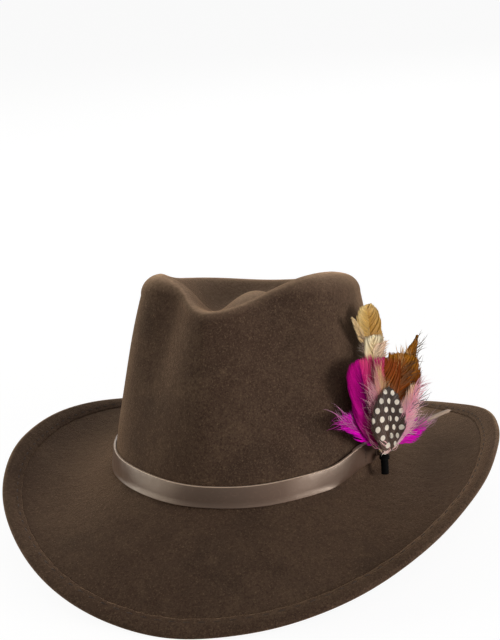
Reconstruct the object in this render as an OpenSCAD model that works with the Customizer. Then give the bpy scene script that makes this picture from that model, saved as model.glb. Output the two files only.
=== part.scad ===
// A felt hat with a pinched teardrop crown, a folded brim edge, a leather band and a feather trim.
// The front of the hat faces -Y and the wearer's left is +X. Angles run from the front to +X.

/* [Head opening] */
// Length of the head opening, front to back
head_l = 197; // [188:1:206]
// Width of the head opening
head_w = 172; // [164:1:180]
// Thickness of the felt
felt_t = 2.4; // [2:0.1:2.8]

/* [Crown] */
// Height of the crest at the front dip, above the brim break
front_h = 115; // [108:1:120]
// Height of the two peaks beside the front dip
peak_h = 130; // [123:1:134]
// Height of the crest at the back
back_h = 104; // [98:1:112]
// Angle from the front to each peak
peak_angle = 52; // [45:1:65]
// How far the crown draws in from the break to the crest at the front
front_taper = 18; // [12:1:24]
// How far the crown draws in at each side
side_taper = 20; // [14:1:26]
// How far the crown draws in at the back
back_taper = 22; // [16:1:28]
// How far the crest sits towards the wearer's left
crown_lean = 2.5; // [0:0.5:4]
// Outward swell of the crown wall at half height
wall_swell = 2.5; // [0:0.5:5]
// Radius of the rounded crest
crest_r = 9; // [7:0.5:11]
// Depth of the two front pinches at the crest
pinch_depth = 16; // [8:1:18]
// Angle from the front to each pinch
pinch_angle = 27; // [22:1:34]
// Depth of the thumb hollow below each pinch
thumb_depth = 3; // [0:0.5:4]
// Height of the dent's floor above the break
dent_floor = 90; // [84:1:96]
// Height that the middle of the dent rises above its floor
dent_rise = 17; // [4:1:20]

/* [Brim] */
// Plan width of the brim at the front and back
brim_long = 78; // [64:1:84]
// Plan width of the brim at the sides
brim_side = 73; // [60:1:80]
// How far the brim's outline sits behind the crown's centre
brim_back_shift = 3; // [0:0.5:6]
// Drop of the brim's front edge below the break
front_drop = 51; // [40:1:58]
// Drop of the brim's back edge below the break
back_drop = 19; // [12:1:30]
// Rise of the brim's side edges above the break
side_rise = 11; // [4:1:20]
// Hollow of the rolled sides below a straight line
side_hollow = 9; // [2:1:12]
// Radius of the bend between the crown and the brim
break_r = 4; // [3:0.5:5]

/* [Folded edge] */
// Width of the felt folded over the brim's edge
fold_w = 11; // [8:0.5:14]
// Thickness of the folded layer
fold_t = 1.9; // [1.6:0.1:2.4]
// Gap between the folded layer and the brim
fold_gap = 0.3; // [0.2:0.1:0.4]
// Diameter of the wire in the fold
wire_d = 1.2; // [0.8:0.1:1.2]
// Wall of the sleeve that joins the wire's ends
sleeve_wall = 0.15; // [0.1:0.05:0.2]
// Length of that sleeve
sleeve_l = 24; // [16:1:32]
// Distance of the stitch line from the fold's raw edge
stitch_in = 2; // [1.5:0.1:3]

/* [Sweatband] */
// Height of the leather sweatband
sweat_h = 36; // [30:1:42]
// Thickness of the sweatband
sweat_t = 1.2; // [0.8:0.1:1.6]
// Diameter of the reed along the sweatband's lower edge
reed_d = 2; // [1.6:0.1:2.4]
// Width of the size tag behind the sweatband
tag_w = 22; // [14:1:30]
// Height of the size tag
tag_h = 16; // [10:1:22]

/* [Hat band] */
// Height of the leather hat band
band_h = 13.5; // [10:0.5:18]
// Thickness of the hat band
band_t = 1.6; // [1.2:0.1:2]
// Length of the band's overlap at the trim
lap_l = 24; // [18:1:30]

/* [Feather trim] */
// Angle from the front to the trim's stem
trim_angle = 69; // [60:1:80]
// Diameter of the wrapped stem
stem_d = 5; // [4:0.5:6]
// Length of the wrapped stem
stem_l = 14; // [11:0.5:15]
// Thickness of each feather
feather_t = 0.6; // [0.5:0.05:0.7]
// Length of the gold feather, the tallest
gold_l = 97; // [80:1:100]
// Width of the gold feather
gold_w = 24; // [18:1:28]
// Length of the cream feather behind the amber one
cream_l = 80; // [60:1:90]
// Length of the amber feather
amber_l = 56; // [45:1:70]
// Width of the amber feather
amber_w = 26; // [18:1:30]
// Length of the magenta petal feather
petal_l = 64; // [50:1:75]
// Width of the magenta petal feather
petal_w = 28; // [20:1:32]
// Length of the spotted guinea feather
guinea_l = 46; // [36:1:54]
// Width of the spotted guinea feather
guinea_w = 30; // [20:1:34]
// Length of the magenta hackles at both sides
hackle_l = 54; // [40:1:60]
// Length of the pale quill
quill_l = 63; // [50:1:68]

/* [Hidden] */

fit_gap = 0.3;                       // clearance between pieces that lie against each other
stations = 64;                       // points round the hat
step = 360 / stations;
crown_a = head_l / 2 + sweat_t + fit_gap + felt_t;   // half length of the crown at the break
crown_b = head_w / 2 + sweat_t + fit_gap + felt_t;   // half width of the crown at the break
pinch_w = 20;                        // angular width of each front pinch
break_dip = 2;                       // the break line is lower at the front and back by this much
dent_w = 24;                         // half width of the raised middle of the dent
dent_l = 38;                         // half length of the raised middle
dent_y = 20;                         // the raised middle sits behind the crown's centre
floor_slope = 0.08;                  // fall of the dent's floor towards the back
edge_wave = 1;                       // lift of the brim's edge between its high and low points
front_arch = 2;                      // convexity of the brim's front and back

/* ---------- small functions ---------- */

function ease(x) = let (c = min(1, max(0, x))) c * c * (3 - 2 * c);
function bell(x, w) = exp(-pow(x / w, 2));
function unit(v) = v / norm(v);
function from_front(t) = abs((t + 540) % 360 - 180);
function oval(a, b, t, n) = pow(pow(abs(cos(t)) / a, n) + pow(abs(sin(t)) / b, n), -1 / n);
function polar(r, t, z) = [r * sin(t), -r * cos(t), z];
function mix(p, q, k) = p + (q - p) * k;
function bezier(a, b, c, k) = mix(mix(a, b, k), mix(b, c, k), k);

/* ---------- the outer surface of the felt ---------- */

function break_r_at(t) = oval(crown_a, crown_b, t, 2);
function break_z(t) = break_dip * (1 - cos(2 * t)) - break_dip;

// plan radius and height of the crest
function crest_plan(t) =
    let (a = from_front(t), front = a < 90)
    oval(crown_a - (front ? front_taper : back_taper), crown_b - side_taper, t, front ? 2 : 2.5)
    - pinch_depth * bell(a - pinch_angle, pinch_w);
function crest_z(t) =
    let (a = from_front(t))
    a < peak_angle
    ? mix(front_h, peak_h, ease(a / peak_angle))
    : mix(peak_h, back_h, ease((a - peak_angle) / (180 - peak_angle)));

// the crown wall, from the break at s = 0 to the outer side of the crest at s = 1
function wall_plan(t, s) =
    mix(break_r_at(t), crest_plan(t), s) + wall_swell * 4 * s * (1 - s)
    - thumb_depth * bell(from_front(t) - pinch_angle - 9, 13) * bell(s - 0.72, 0.22);
function wall_height(t) = crest_z(t) - crest_r - break_z(t);
function wall(t, s) =
    polar(wall_plan(t, s), t, break_z(t) + wall_height(t) * s) + [crown_lean * s, 0, 0];
function wall_at(t, h) = wall(t, h / wall_height(t));     // h is the height above the break
function wall_normal(t, h) =
    unit(cross(wall_at(t, h - 1) - wall_at(t, h + 1), wall_at(t + 1, h) - wall_at(t - 1, h)));

// the rounded crest, from its outer side at 0 degrees to its top at 90
function crest(t, f) =
    polar(crest_plan(t) - crest_r * (1 - cos(f)), t, crest_z(t) - crest_r * (1 - sin(f)))
    + [crown_lean, 0, 0];

// the dent, from its centre at u = 0 to the crest's top at u = 1
function dent(t, u) =
    let (
        r = (crest_plan(t) - crest_r) * u,
        p = polar(r, t, 0),
        floor_z = dent_floor - floor_slope * p.y
            + dent_rise * bell(p.x, dent_w) * bell(p.y - dent_y, dent_l) * (1 - ease((u - 0.5) / 0.5))
    )
    [p.x + crown_lean, p.y, mix(floor_z, crest_z(t), ease((u - 0.42) / 0.58))];

// the brim, from the break at q = 0 to its edge at q = 1
brim_a = crown_a + brim_long;
brim_b = crown_b + brim_side;
edge_mean = (side_rise - (front_drop + back_drop) / 2) / 2;
edge_pitch = (back_drop - front_drop) / 2;
edge_roll = (side_rise + (front_drop + back_drop) / 2) / 2;
function brim_edge(t) =
    polar(oval(brim_a, brim_b, t, 2.1), t,
          edge_mean + edge_pitch * cos(t) - edge_roll * cos(2 * t) - edge_wave * cos(4 * t))
    + [0, brim_back_shift, 0];
function brim_bend(t, q) = 4 * q * (1 - q)
    * (front_arch * pow(cos(t), 2) - side_hollow * pow(sin(t), 2));
function brim(t, q) = mix(wall(t, 0), brim_edge(t), q) + [0, 0, brim_bend(t, q)];
function brim_run(t) = norm(brim_edge(t) - wall(t, 0));

// a point d in from the brim's edge and h above its top surface
function edge_point(t, d, h) =
    let (
        q = 1 - d / brim_run(t),
        along = brim(t, q + 0.01) - brim(t, q - 0.01),
        round_ = brim(t + 1, q) - brim(t - 1, q)
    )
    brim(t, q) + unit(cross(along, round_)) * h;

// the bend between wall and brim
function break_bend(t, k) =
    bezier(wall_at(t, break_r), wall(t, 0), brim(t, break_r / brim_run(t)), k);

/* ---------- the felt body ---------- */

dent_steps = [0.16, 0.32, 0.46, 0.58, 0.7, 0.82, 0.92];
crest_steps = [90, 60, 30];
wall_steps = [1, 0.84, 0.68, 0.52, 0.36, 0.2];
bend_steps = [0, 0.35, 0.65, 1];
brim_steps = [0.2, 0.4, 0.6, 0.75];

function ring(f) = [for (i = [0 : stations - 1]) f(i * step)];
outer_rings = concat(
    [for (u = dent_steps) ring(function(t) dent(t, u))],
    [for (f = crest_steps) ring(function(t) crest(t, f))],
    [for (s = wall_steps) ring(function(t) wall(t, s))],
    [for (k = bend_steps) ring(function(t) break_bend(t, k))],
    [for (q = brim_steps) ring(function(t) brim(t, q))],
    [ring(function(t) edge_point(t, fold_w + 2, 0))]
);

// the folded edge: a slit under the fold, a round channel for the wire, and the rounded rim
sleeve_bore = wire_d + fit_gap;
sleeve_d = sleeve_bore + 2 * sleeve_wall;
channel_d = sleeve_d + 0.8;
channel_at = 3.4;                    // distance of the wire's centre from the edge
channel_h = fold_gap / 2;            // and its height above the brim's top surface
slit_angle = asin(fold_gap / channel_d);
fold_round = 0.6;                    // softening of the fold's raw edge
edge_half = (felt_t + fold_gap + fold_t) / 2;
edge_mid = edge_half - felt_t;
fold_section = concat(
    [[fold_w, 0], [(fold_w + channel_at) / 2, 0]],
    [for (i = [0 : 6])
        let (a = slit_angle + (360 - 2 * slit_angle) * i / 6)
        [channel_at + channel_d / 2 * cos(a), channel_h - channel_d / 2 * sin(a)]],
    [[(fold_w + channel_at) / 2, fold_gap], [fold_w, fold_gap],
     [fold_w, fold_gap + fold_t * 0.6], [fold_w - fold_round, fold_gap + fold_t],
     [(fold_w + edge_half) / 2, fold_gap + fold_t]],
    [for (a = [90 : -45 : -90]) [edge_half * (1 - cos(a)), edge_mid + edge_half * sin(a)]],
    [[fold_w, -felt_t]]
);
edge_rings = [for (p = fold_section) ring(function(t) edge_point(t, p[0], p[1]))];

// the inner surface is the outer one moved along its normals
function ring_normal(rings, i, j) =
    let (
        n = len(rings),
        along = rings[min(n - 1, i + 1)][j] - rings[max(0, i - 1)][j],
        round_ = rings[i][(j + 1) % stations] - rings[i][(j + stations - 1) % stations]
    )
    unit(cross(along, round_));
inner_rings = [for (i = [len(outer_rings) - 1 : -1 : 0])
    [for (j = [0 : stations - 1]) outer_rings[i][j] - ring_normal(outer_rings, i, j) * felt_t]];
felt_rings = concat(outer_rings, edge_rings, inner_rings);
dent_centre = dent(0, 0);
felt_points = concat(
    [dent_centre],
    [for (r = felt_rings) each r],
    [dent_centre - [0, 0, felt_t]]
);

function quad(a, b, c, d) = [[a, d, c], [a, c, b]];
function tube_faces(rings, n, first) = [
    for (i = [0 : rings - 2], j = [0 : n - 1])
        let (a = first + i * n + j, d = first + i * n + (j + 1) % n)
        each quad(a, a + n, d + n, d)
];
felt_faces = concat(
    [for (j = [0 : stations - 1]) [0, 1 + (j + 1) % stations, 1 + j]],
    tube_faces(len(felt_rings), stations, 1),
    [for (j = [0 : stations - 1])
        let (last = len(felt_points) - 1, base = last - stations)
        [last, base + j, base + (j + 1) % stations]]
);

/* ---------- the resting pose ---------- */

// the hat is tipped so that the front and back of its brim rest on the same plane
rest_pitch = atan2(front_drop - back_drop, 2 * brim_a);
function tipped(p) = [p.x, p.y * cos(rest_pitch) + p.z * sin(rest_pitch),
                      p.z * cos(rest_pitch) - p.y * sin(rest_pitch)];
edge_tipped = [for (r = edge_rings, p = r) tipped(p)];
lowest = min([for (p = edge_tipped) p.z]);
middle_y = (min([for (p = edge_tipped) p.y]) + max([for (p = edge_tipped) p.y])) / 2;

module resting() {
    translate([0, -middle_y, -lowest]) rotate([-rest_pitch, 0, 0]) children();
}

module felt_body() {
    color("#4a3c33") resting() polyhedron(felt_points, felt_faces, convexity = 10);
}

/* ---------- swept rings ---------- */

// sweeps a closed section round the hat; place(t, p) gives the point p of the section at angle t
module swept(section, place, t0, t1, n) {
    m = len(section);
    points = [for (i = [0 : n]) for (p = section) place(mix(t0, t1, i / n), p)];
    ends = [[for (k = [0 : m - 1]) k], [for (k = [m - 1 : -1 : 0]) n * m + k]];
    sides = [for (i = [0 : n - 1], k = [0 : m - 1])
        let (a = i * m + k, b = i * m + (k + 1) % m)
        each [[a, a + m, b + m], [a, b + m, b]]];
    polyhedron(points, concat(ends, sides), convexity = 8);
}

// a section in the opposite order, for places that turn it over
function turned(section) = [for (i = [len(section) - 1 : -1 : 0]) section[i]];
function round_section(d, n) = [for (i = [0 : n - 1]) d / 2 * [cos(360 * i / n), sin(360 * i / n)]];
function in_channel(t, p) = edge_point(t, channel_at - p[0], channel_h + p[1]);

wire_gap_angle = 0.6;                // half the angle between the wire's two ends
module brim_wire() {
    color("#8f9296") resting()
        swept(turned(round_section(wire_d, 6)), function(t, p) in_channel(t, p),
              180 + wire_gap_angle, 540 - wire_gap_angle, 90);
}

sleeve_angle = asin(sleeve_l / 2 / brim_a);
module brim_wire_sleeve() {
    // a split tube, open towards the brim's edge
    wall_pts = concat(
        [for (a = [20 : 32 : 340]) sleeve_d / 2 * [cos(a), sin(a)]],
        [for (a = [340 : -32 : 20]) sleeve_bore / 2 * [cos(a), sin(a)]]
    );
    color("#b9bcc0") resting()
        swept(turned(wall_pts), function(t, p) in_channel(t, p), 180 - sleeve_angle, 180 + sleeve_angle, 10);
}

/* ---------- stitches ---------- */

// one stitch: a short bar along x that lies on the plane z = 0
module stitch(length, thick) {
    translate([-length / 2, -thick / 2, 0]) cube([length, thick, thick]);
}

// places a child on a surface: f(t) gives the point, tangents are found from its neighbours
module on_surface(f, up, t) {
    x = unit(f(t + 0.5) - f(t - 0.5));
    z = unit(up - x * (up * x));
    y = cross(z, x);
    p = f(t);
    multmatrix([[x.x, y.x, z.x, p.x], [x.y, y.y, z.y, p.y], [x.z, y.z, z.z, p.z], [0, 0, 0, 1]])
        children();
}

stitch_lift = 0.1;                   // gap under a stitch
fold_stitches = 120;
fold_stitch_l = 4.5;
fold_stitch_t = 0.5;
fold_top = fold_gap + fold_t;
function fold_line(t) = edge_point(t, fold_w - stitch_in, fold_top + stitch_lift);
function fold_up(t) = edge_point(t, fold_w - stitch_in, fold_top + stitch_lift + 1) - fold_line(t);
module fold_stitching() {
    color("#5a493e") resting()
        for (i = [0 : fold_stitches - 1])
            on_surface(function(t) fold_line(t), fold_up(i * 360 / fold_stitches),
                       i * 360 / fold_stitches)
                stitch(fold_stitch_l, fold_stitch_t);
}

/* ---------- sweatband ---------- */

sweat_base = 1;                      // height of the sweatband's lower edge above the break
sweat_gap_angle = 0.4;               // half the angle of its joint at the back
function outward(t) = [sin(t), -cos(t), 0];
// a point x in from the felt's inner face and h above the break
function inside(t, p) =
    wall_at(t, p[1]) - wall_normal(t, max(p[1], break_r)) * (felt_t + fit_gap + p[0]);
function strip(x0, x1, h0, h1) = [[x0, h0], [x0, (h0 + h1) / 2], [x0, h1],
                                  [x1, h1], [x1, (h0 + h1) / 2], [x1, h0]];

module sweatband() {
    color("#3a2c24") resting()
        swept(turned(strip(0, sweat_t, sweat_base, sweat_base + sweat_h)),
              function(t, p) inside(t, p),
              180 + sweat_gap_angle, 540 - sweat_gap_angle, 72);
}

reed_lift = 0.1;                     // gap between the reed and the sweatband
module sweatband_reed() {
    reed = [for (q = round_section(reed_d, 8))
        q + [sweat_t / 2, sweat_base - reed_d / 2 - reed_lift]];
    color("#241c18") resting()
        swept(reed, function(t, p) inside(t, p), 180 + sweat_gap_angle, 540 - sweat_gap_angle, 72);
}

sweat_stitches = 96;
sweat_stitch_l = 3.4;
sweat_stitch_t = 0.5;
sweat_stitch_h = 3;                  // height of the stitch row above the sweatband's lower edge
function sweat_face(t, h) = inside(t, [sweat_t + fit_gap, sweat_base + h]);
module sweatband_stitching() {
    color("#8a7460") resting()
        for (i = [0 : sweat_stitches - 1])
            let (t = (i + 0.5) * 360 / sweat_stitches)
                on_surface(function(t) sweat_face(t, sweat_stitch_h), -outward(t), t)
                    stitch(sweat_stitch_l, sweat_stitch_t);
}

bow_w = 20;
bow_h = 8;
bow_t = 1.2;
bow_waist = 2.4;                     // height of the bow at its knot
bow_knot_d = 4.4;
bow_knot_out = 0.8;                  // how far the knot stands out from the loops
bow_base = 5;                        // height of the bow's foot above the sweatband's lower edge
module sweatband_bow() {
    seat = sweat_face(180, bow_base + bow_h / 2);
    back_sag = bow_w * bow_w / 8 / (crown_b * crown_b / crown_a) + fit_gap;
    color("#2b211c") resting()
        translate(seat - [0, back_sag, 0]) rotate([90, 0, 0]) {
            linear_extrude(bow_t)
                polygon([[-bow_w / 2, -bow_h / 2], [0, -bow_waist / 2], [bow_w / 2, -bow_h / 2],
                         [bow_w / 2, bow_h / 2], [0, bow_waist / 2], [-bow_w / 2, bow_h / 2]]);
            cylinder(h = bow_t + bow_knot_out, d = bow_knot_d, $fn = 32);
        }
}

tag_angle = 158;                     // angle of the tag's middle from the front
tag_t = 0.5;
tag_base = 12;                       // height of the tag's lower edge above the break
module size_tag() {
    half = asin(tag_w / 2 / crown_a);
    color("#d8cdbd") resting()
        swept(turned(strip(sweat_t + fit_gap, sweat_t + fit_gap + tag_t, tag_base, tag_base + tag_h)),
              function(t, p) inside(t, p), tag_angle - half, tag_angle + half, 6);
}

/* ---------- hat band ---------- */

band_base = 2.6;                     // height of the band's lower edge above the break
lap_angle = lap_l / break_r_at(trim_angle) * 180 / PI;
lap_past = 3;                        // angle by which the band's outer end passes the stem
lap_end = trim_angle + lap_past + 360;
lap_rise = 16;                       // angle over which the outer layer climbs on to the inner one
lap_early = 1;                       // angle by which it is up before the inner end
layer = band_t + fit_gap;
function lap_lift(t) =
    layer * ease((t - lap_end + lap_angle + lap_rise + lap_early) / lap_rise);
function on_wall(t, p) = wall_at(t, p[1]) + wall_normal(t, p[1]) * (fit_gap + p[0]);

module hat_band() {
    color("#54423a") resting()
        swept(strip(0, band_t, band_base, band_base + band_h),
              function(t, p) on_wall(t, [p[0] + lap_lift(t), p[1]]),
              lap_end - 360 - lap_angle, lap_end, 96);
}

lap_stitches = 4;
lap_stitch_in = 10;                  // angle from the band's end to its stitches
lap_stitch_l = 1.8;
lap_stitch_w = 0.6;
lap_stitch_t = 0.5;
lap_margin = 0.75;                   // free band above and below the stitches, in stitch pitches
module hat_band_stitches() {
    t = lap_end - lap_stitch_in;
    pitch = band_h / (lap_stitches - 1 + 2 * lap_margin);
    color("#3d2f28") resting()
        for (i = [0 : lap_stitches - 1])
            translate(on_wall(t, [layer + band_t + stitch_lift, band_base + pitch * (i + lap_margin)]))
                rotate([0, 0, t])
                    translate([-lap_stitch_w / 2, -lap_stitch_t, 0])
                        cube([lap_stitch_w, lap_stitch_t, lap_stitch_l]);
}

/* ---------- feather trim ---------- */

// The feathers fan out in layers on an upright sheet. Towards the front it follows the crown, and
// towards the back it turns away from it. A place on it is [a, b, n]: a along it from the stem
// towards the back, b above the stem's top, and n out from the sheet.
sheet_out = layer + band_t + fit_gap * 2;    // from the felt to the sheet, past the lapped band
sheet_lean = 0.12;                   // the sheet leans in with the crown
sheet_front_r = 110;                 // its radius towards the front
sheet_back_r = 26;                   // its radius where it turns away from the crown
sheet_turn = 28;                     // angle that it turns
feather_pitch = feather_t + 0.25;    // from one feather's layer to the next
feather_layers = 13;
stem_n = feather_pitch * feather_layers / 2 + 1;     // from the sheet to the stem's centre
stem_foot = 1.1;                     // height of the stem's foot above the brim under its centre
trim_root = break_r_at(trim_angle) + sheet_out;
trim_heading = atan2(pow(crown_a, 2) * sin(trim_angle), pow(crown_b, 2) * cos(trim_angle));
turn_l = sheet_back_r * sheet_turn * PI / 180;
function heading(a) = trim_heading
    + (a < 0 ? a / sheet_front_r : -min(a, turn_l) / sheet_back_r) * 180 / PI;
function arc_to(r, h0, h1) = r * [sin(h1) - sin(h0), cos(h0) - cos(h1)];
function sheet_plan(a) =
    a < 0
    ? arc_to(sheet_front_r, trim_heading, heading(a))
    : arc_to(-sheet_back_r, trim_heading, heading(a))
        + max(a - turn_l, 0) * [cos(heading(a)), sin(heading(a))];
stem_base_z = brim(trim_angle, (sheet_out + stem_n) / brim_run(trim_angle)).z + stem_foot;
stem_top_z = stem_base_z + stem_l;
function on_sheet(a, b, n) =
    let (
        out = [sin(heading(a)), -cos(heading(a))] * (n - sheet_lean * b),
        xy = polar(trim_root, trim_angle, 0) + [sheet_plan(a).x, sheet_plan(a).y, 0]
    )
    [xy.x + out.x, xy.y + out.y, stem_top_z + b];

feather_rows = 8;
feather_root = 1;                    // height of the feathers' roots above the stem's top
root_half = 0.8;                     // half width of a blade at its root and tip
blade_section = [[-1, 0.5], [-0.5, 0.1], [0, 0], [0.5, 0.1],
                 [1, 0.5], [0.5, 0.9], [0, 1], [-0.5, 0.9]];
quill_section = [for (a = [300 : -60 : 0]) [cos(a), 0.5 + sin(a) / 2]];

// lengths and widths of the smaller feathers
sliver_l = gold_l - 6;
sliver_w = 6;
cream_w = 14;
spike_l = amber_l + 24;
spike_w = 9;
hackle_w = 26;
hackle_right_l = hackle_l - 6;
hackle_right_w = 18;
peach_l = hackle_l - 4;
peach_w = 20;
rose_l = petal_l - 6;
rose_w = 22;
cream_hackle_l = petal_l - 8;
cream_hackle_w = 20;
quill_w = 4;

// half width of a blade at u along it; a larger peak puts its widest place nearer the tip
function blade_half(u, width, peak) = max(root_half, width / 2 * sin(180 * pow(u, peak)));

// one feather: its layer, and the length, width and widest place of its blade. It starts at an angle
// from upright and bends by bend on its way to the tip.
module feather(at, length, width, peak, angle, bend, section = blade_section) {
    swept(turned(section),
          function(u, p)
              let (
                  turn = angle + bend * u,
                  side = blade_half(u, width, peak) * p[0],
                  a = length * u * sin(turn) + side * cos(turn),
                  b = feather_root + length * u * cos(turn) - side * sin(turn)
              )
              on_sheet(a, b, feather_pitch * (at + 0.5) + feather_t * p[1]),
          0, 1, feather_rows);
}

module pale_quill() {
    color("#d9c3a8") resting()
        feather(at = 0, length = quill_l, width = quill_w, peak = 1, angle = 72, bend = 4,
                section = quill_section);
}
module gold_feather() {
    color("#b98a3e") resting()
        feather(at = 1, length = gold_l, width = gold_w, peak = 4, angle = -2, bend = 6);
}
module gold_sliver() {
    color("#c9a05c") resting()
        feather(at = 2, length = sliver_l, width = sliver_w, peak = 3, angle = -12, bend = 3);
}
module cream_feather() {
    color("#e6d3b3") resting()
        feather(at = 3, length = cream_l, width = cream_w, peak = 2, angle = -2, bend = 6);
}
module amber_spike() {
    color("#a8672a") resting()
        feather(at = 4, length = spike_l, width = spike_w, peak = 2.5, angle = 28, bend = 4);
}
module amber_feather() {
    color("#b5732f") resting()
        feather(at = 5, length = amber_l, width = amber_w, peak = 2.2, angle = 20, bend = 4);
}
module magenta_hackle_left() {
    color("#b3128f") resting()
        feather(at = 6, length = hackle_l, width = hackle_w, peak = 2, angle = -42, bend = -20);
}
module magenta_petal() {
    color("#c4149c") resting()
        feather(at = 7, length = petal_l, width = petal_w, peak = 1.8, angle = -14, bend = -4);
}
module magenta_hackle_right() {
    color("#b3128f") resting()
        feather(at = 8, length = hackle_right_l, width = hackle_right_w, peak = 1.8, angle = 66, bend = 14);
}
module peach_hackle() {
    color("#e8b79b") resting()
        feather(at = 9, length = peach_l, width = peach_w, peak = 1.6, angle = 40, bend = 8);
}
module rose_feather() {
    color("#d2708f") resting()
        feather(at = 10, length = rose_l, width = rose_w, peak = 1.8, angle = 8, bend = 6);
}
module cream_hackle() {
    color("#efd9bf") resting()
        feather(at = 11, length = cream_hackle_l, width = cream_hackle_w, peak = 1.5, angle = -8, bend = 4);
}
module guinea_feather() {
    color("#3b2f28") resting()
        feather(at = 12, length = guinea_l, width = guinea_w, peak = 1.3, angle = 8, bend = 12);
}

stem_centre = on_sheet(0, 0, stem_n);
module trim_stem() {
    color("#141210") resting()
        translate([stem_centre.x, stem_centre.y, stem_base_z]) cylinder(h = stem_l, d = stem_d, $fn = 40);
}

wrap_t = 0.7;
wrap_h = 3;
wrap_drop = 1;                       // the wrap sits this far below the stem's top
wrap_bore = stem_d + 0.2;
module trim_wrap() {
    color("#1f1b18") resting()
        translate([stem_centre.x, stem_centre.y, stem_top_z - wrap_h - wrap_drop])
            difference() {
                cylinder(h = wrap_h, d = wrap_bore + 2 * wrap_t, $fn = 40);
                translate([0, 0, -1]) cylinder(h = wrap_h + 2, d = wrap_bore, $fn = 40);
            }
}

// a flat spring clip: a plate against the band, and an arm that reaches out to the stem
clip_w = 6;
clip_h = 9;
clip_t = 0.8;
clip_arm_w = 3;
clip_arm_t = 2;
clip_base = 2.5;                     // height of the clip's foot above the stem's foot
module trim_clip() {
    plate_n = -fit_gap / 2;
    stem_back = stem_n - stem_d / 2 - fit_gap / 2;
    root = polar(trim_root, trim_angle, stem_base_z + clip_base);
    color("#9a9c9f") resting()
        translate(root) rotate([0, 0, trim_heading - 90]) {
            translate([plate_n, -clip_w / 2, 0]) cube([clip_t, clip_w, clip_h]);
            translate([plate_n, -clip_arm_w / 2, clip_base])
                cube([stem_back - plate_n, clip_arm_w, clip_arm_t]);
        }
}

felt_body();
brim_wire();
brim_wire_sleeve();
fold_stitching();
sweatband();
sweatband_reed();
sweatband_stitching();
sweatband_bow();
size_tag();
hat_band();
hat_band_stitches();
trim_stem();
trim_wrap();
trim_clip();
gold_feather();
gold_sliver();
cream_feather();
amber_feather();
amber_spike();
magenta_petal();
rose_feather();
cream_hackle();
guinea_feather();
magenta_hackle_left();
magenta_hackle_right();
peach_hackle();
pale_quill();
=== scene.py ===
import math

import bmesh
import bpy
import numpy as np
from mathutils import Matrix, Vector


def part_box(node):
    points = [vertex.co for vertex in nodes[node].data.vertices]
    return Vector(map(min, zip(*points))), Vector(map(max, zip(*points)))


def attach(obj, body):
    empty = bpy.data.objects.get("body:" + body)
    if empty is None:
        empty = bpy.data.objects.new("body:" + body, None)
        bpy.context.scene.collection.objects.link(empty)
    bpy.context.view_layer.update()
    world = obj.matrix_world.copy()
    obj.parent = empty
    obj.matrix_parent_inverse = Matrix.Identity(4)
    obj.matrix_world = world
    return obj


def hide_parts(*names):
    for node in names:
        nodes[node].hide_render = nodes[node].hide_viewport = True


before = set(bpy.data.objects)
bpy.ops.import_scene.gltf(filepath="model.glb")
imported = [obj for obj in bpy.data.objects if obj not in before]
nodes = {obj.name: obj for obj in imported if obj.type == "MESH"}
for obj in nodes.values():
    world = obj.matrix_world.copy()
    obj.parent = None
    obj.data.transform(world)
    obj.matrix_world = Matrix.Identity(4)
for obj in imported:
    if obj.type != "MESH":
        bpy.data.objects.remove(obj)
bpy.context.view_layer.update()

# ---------------------------------------------------------------- sizes of the hat

# lengths are in millimetres, and angles are in degrees from the front towards the wearer's left
HEAD_L, HEAD_W, FELT_T = 197, 172, 2.4
FRONT_H, PEAK_H, BACK_H, PEAK_ANGLE = 115, 130, 104, 52
FRONT_TAPER, SIDE_TAPER, BACK_TAPER = 18, 20, 22
CROWN_LEAN, WALL_SWELL = 4.3, 2.5
CREST_FRONT_R, CREST_SIDE_R, CREST_BACK_R = 5.5, 13.5, 9
CREST_SIDE_FROM, CREST_SIDE_RUN, CREST_BACK_FROM, CREST_BACK_RUN = 25, 40, 110, 50
SIDE_SAG, SAG_ANGLE, SAG_W = 2.5, -100, 30
# the crest's painted highlight is strongest at this angle, over this width
BROW_ANGLE, BROW_W = -50, 18
PINCH_DEPTH, PINCH_ANGLE, PINCH_W, PINCH_TURN, TURN_W = 16, 27, 20, 6.5, 36
THUMB_DEPTH, THUMB_ANGLE, THUMB_W, THUMB_AT, THUMB_H = 3, PINCH_ANGLE + 9, 13, 0.72, 0.22
DENT_FLOOR, FLOOR_SLOPE, DENT_FLAT = 90, 0.08, 0.42
RIDGE_H, RIDGE_W, RIDGE_L, RIDGE_Y, RIDGE_END = 20.8, 22, 52, 6, 0.6
DENT_STEPS = np.concatenate([np.linspace(0.035, DENT_FLAT, 10), np.linspace(0.45, 0.98, 17)])
CREST_STEPS = np.linspace(90, 9, 9)
OVAL_FRONT, OVAL_BACK, OVAL_BRIM = 2, 2.5, 2.1
BRIM_LONG, BRIM_SIDE, BRIM_SHIFT = 78, 73, 3
FRONT_DROP, BACK_DROP, SIDE_RISE, SIDE_HOLLOW = 51, 19, 11, 9
BREAK_R, BREAK_DIP, EDGE_WAVE, FRONT_ARCH = 4, 2, 1, 2
FOLD_W, FOLD_T, FOLD_GAP, STITCH_IN = 11, 1.9, 0.3, 2
CHANNEL_D, CHANNEL_AT = 2.6, 3.4
SWEAT_H, SWEAT_T, SWEAT_BASE, REED_D = 36, 1.2, 1, 2
BAND_H, BAND_T, BAND_ROUND, BAND_FACE = 13.5, 1.6, 0.5, 0.22
BAND_BASE, BAND_CLIMB, CLIMB_FROM, CLIMB_RUN, FALL_FROM, FALL_RUN = 1.3, 6.9, 42, 20, 105, 75
LAP_L, LAP_PAST, LAP_RISE = 24, 3, 16
TAG_W, TAG_H, TAG_T, TAG_BASE, TAG_ANGLE = 22, 16, 0.3, 12, 158
BOW_W, BOW_H, BOW_BASE, BOW_WAIST, BOW_OUT, BOW_DEPTH = 20, 8, 5, 3.0, 0.75, 0.62
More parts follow.
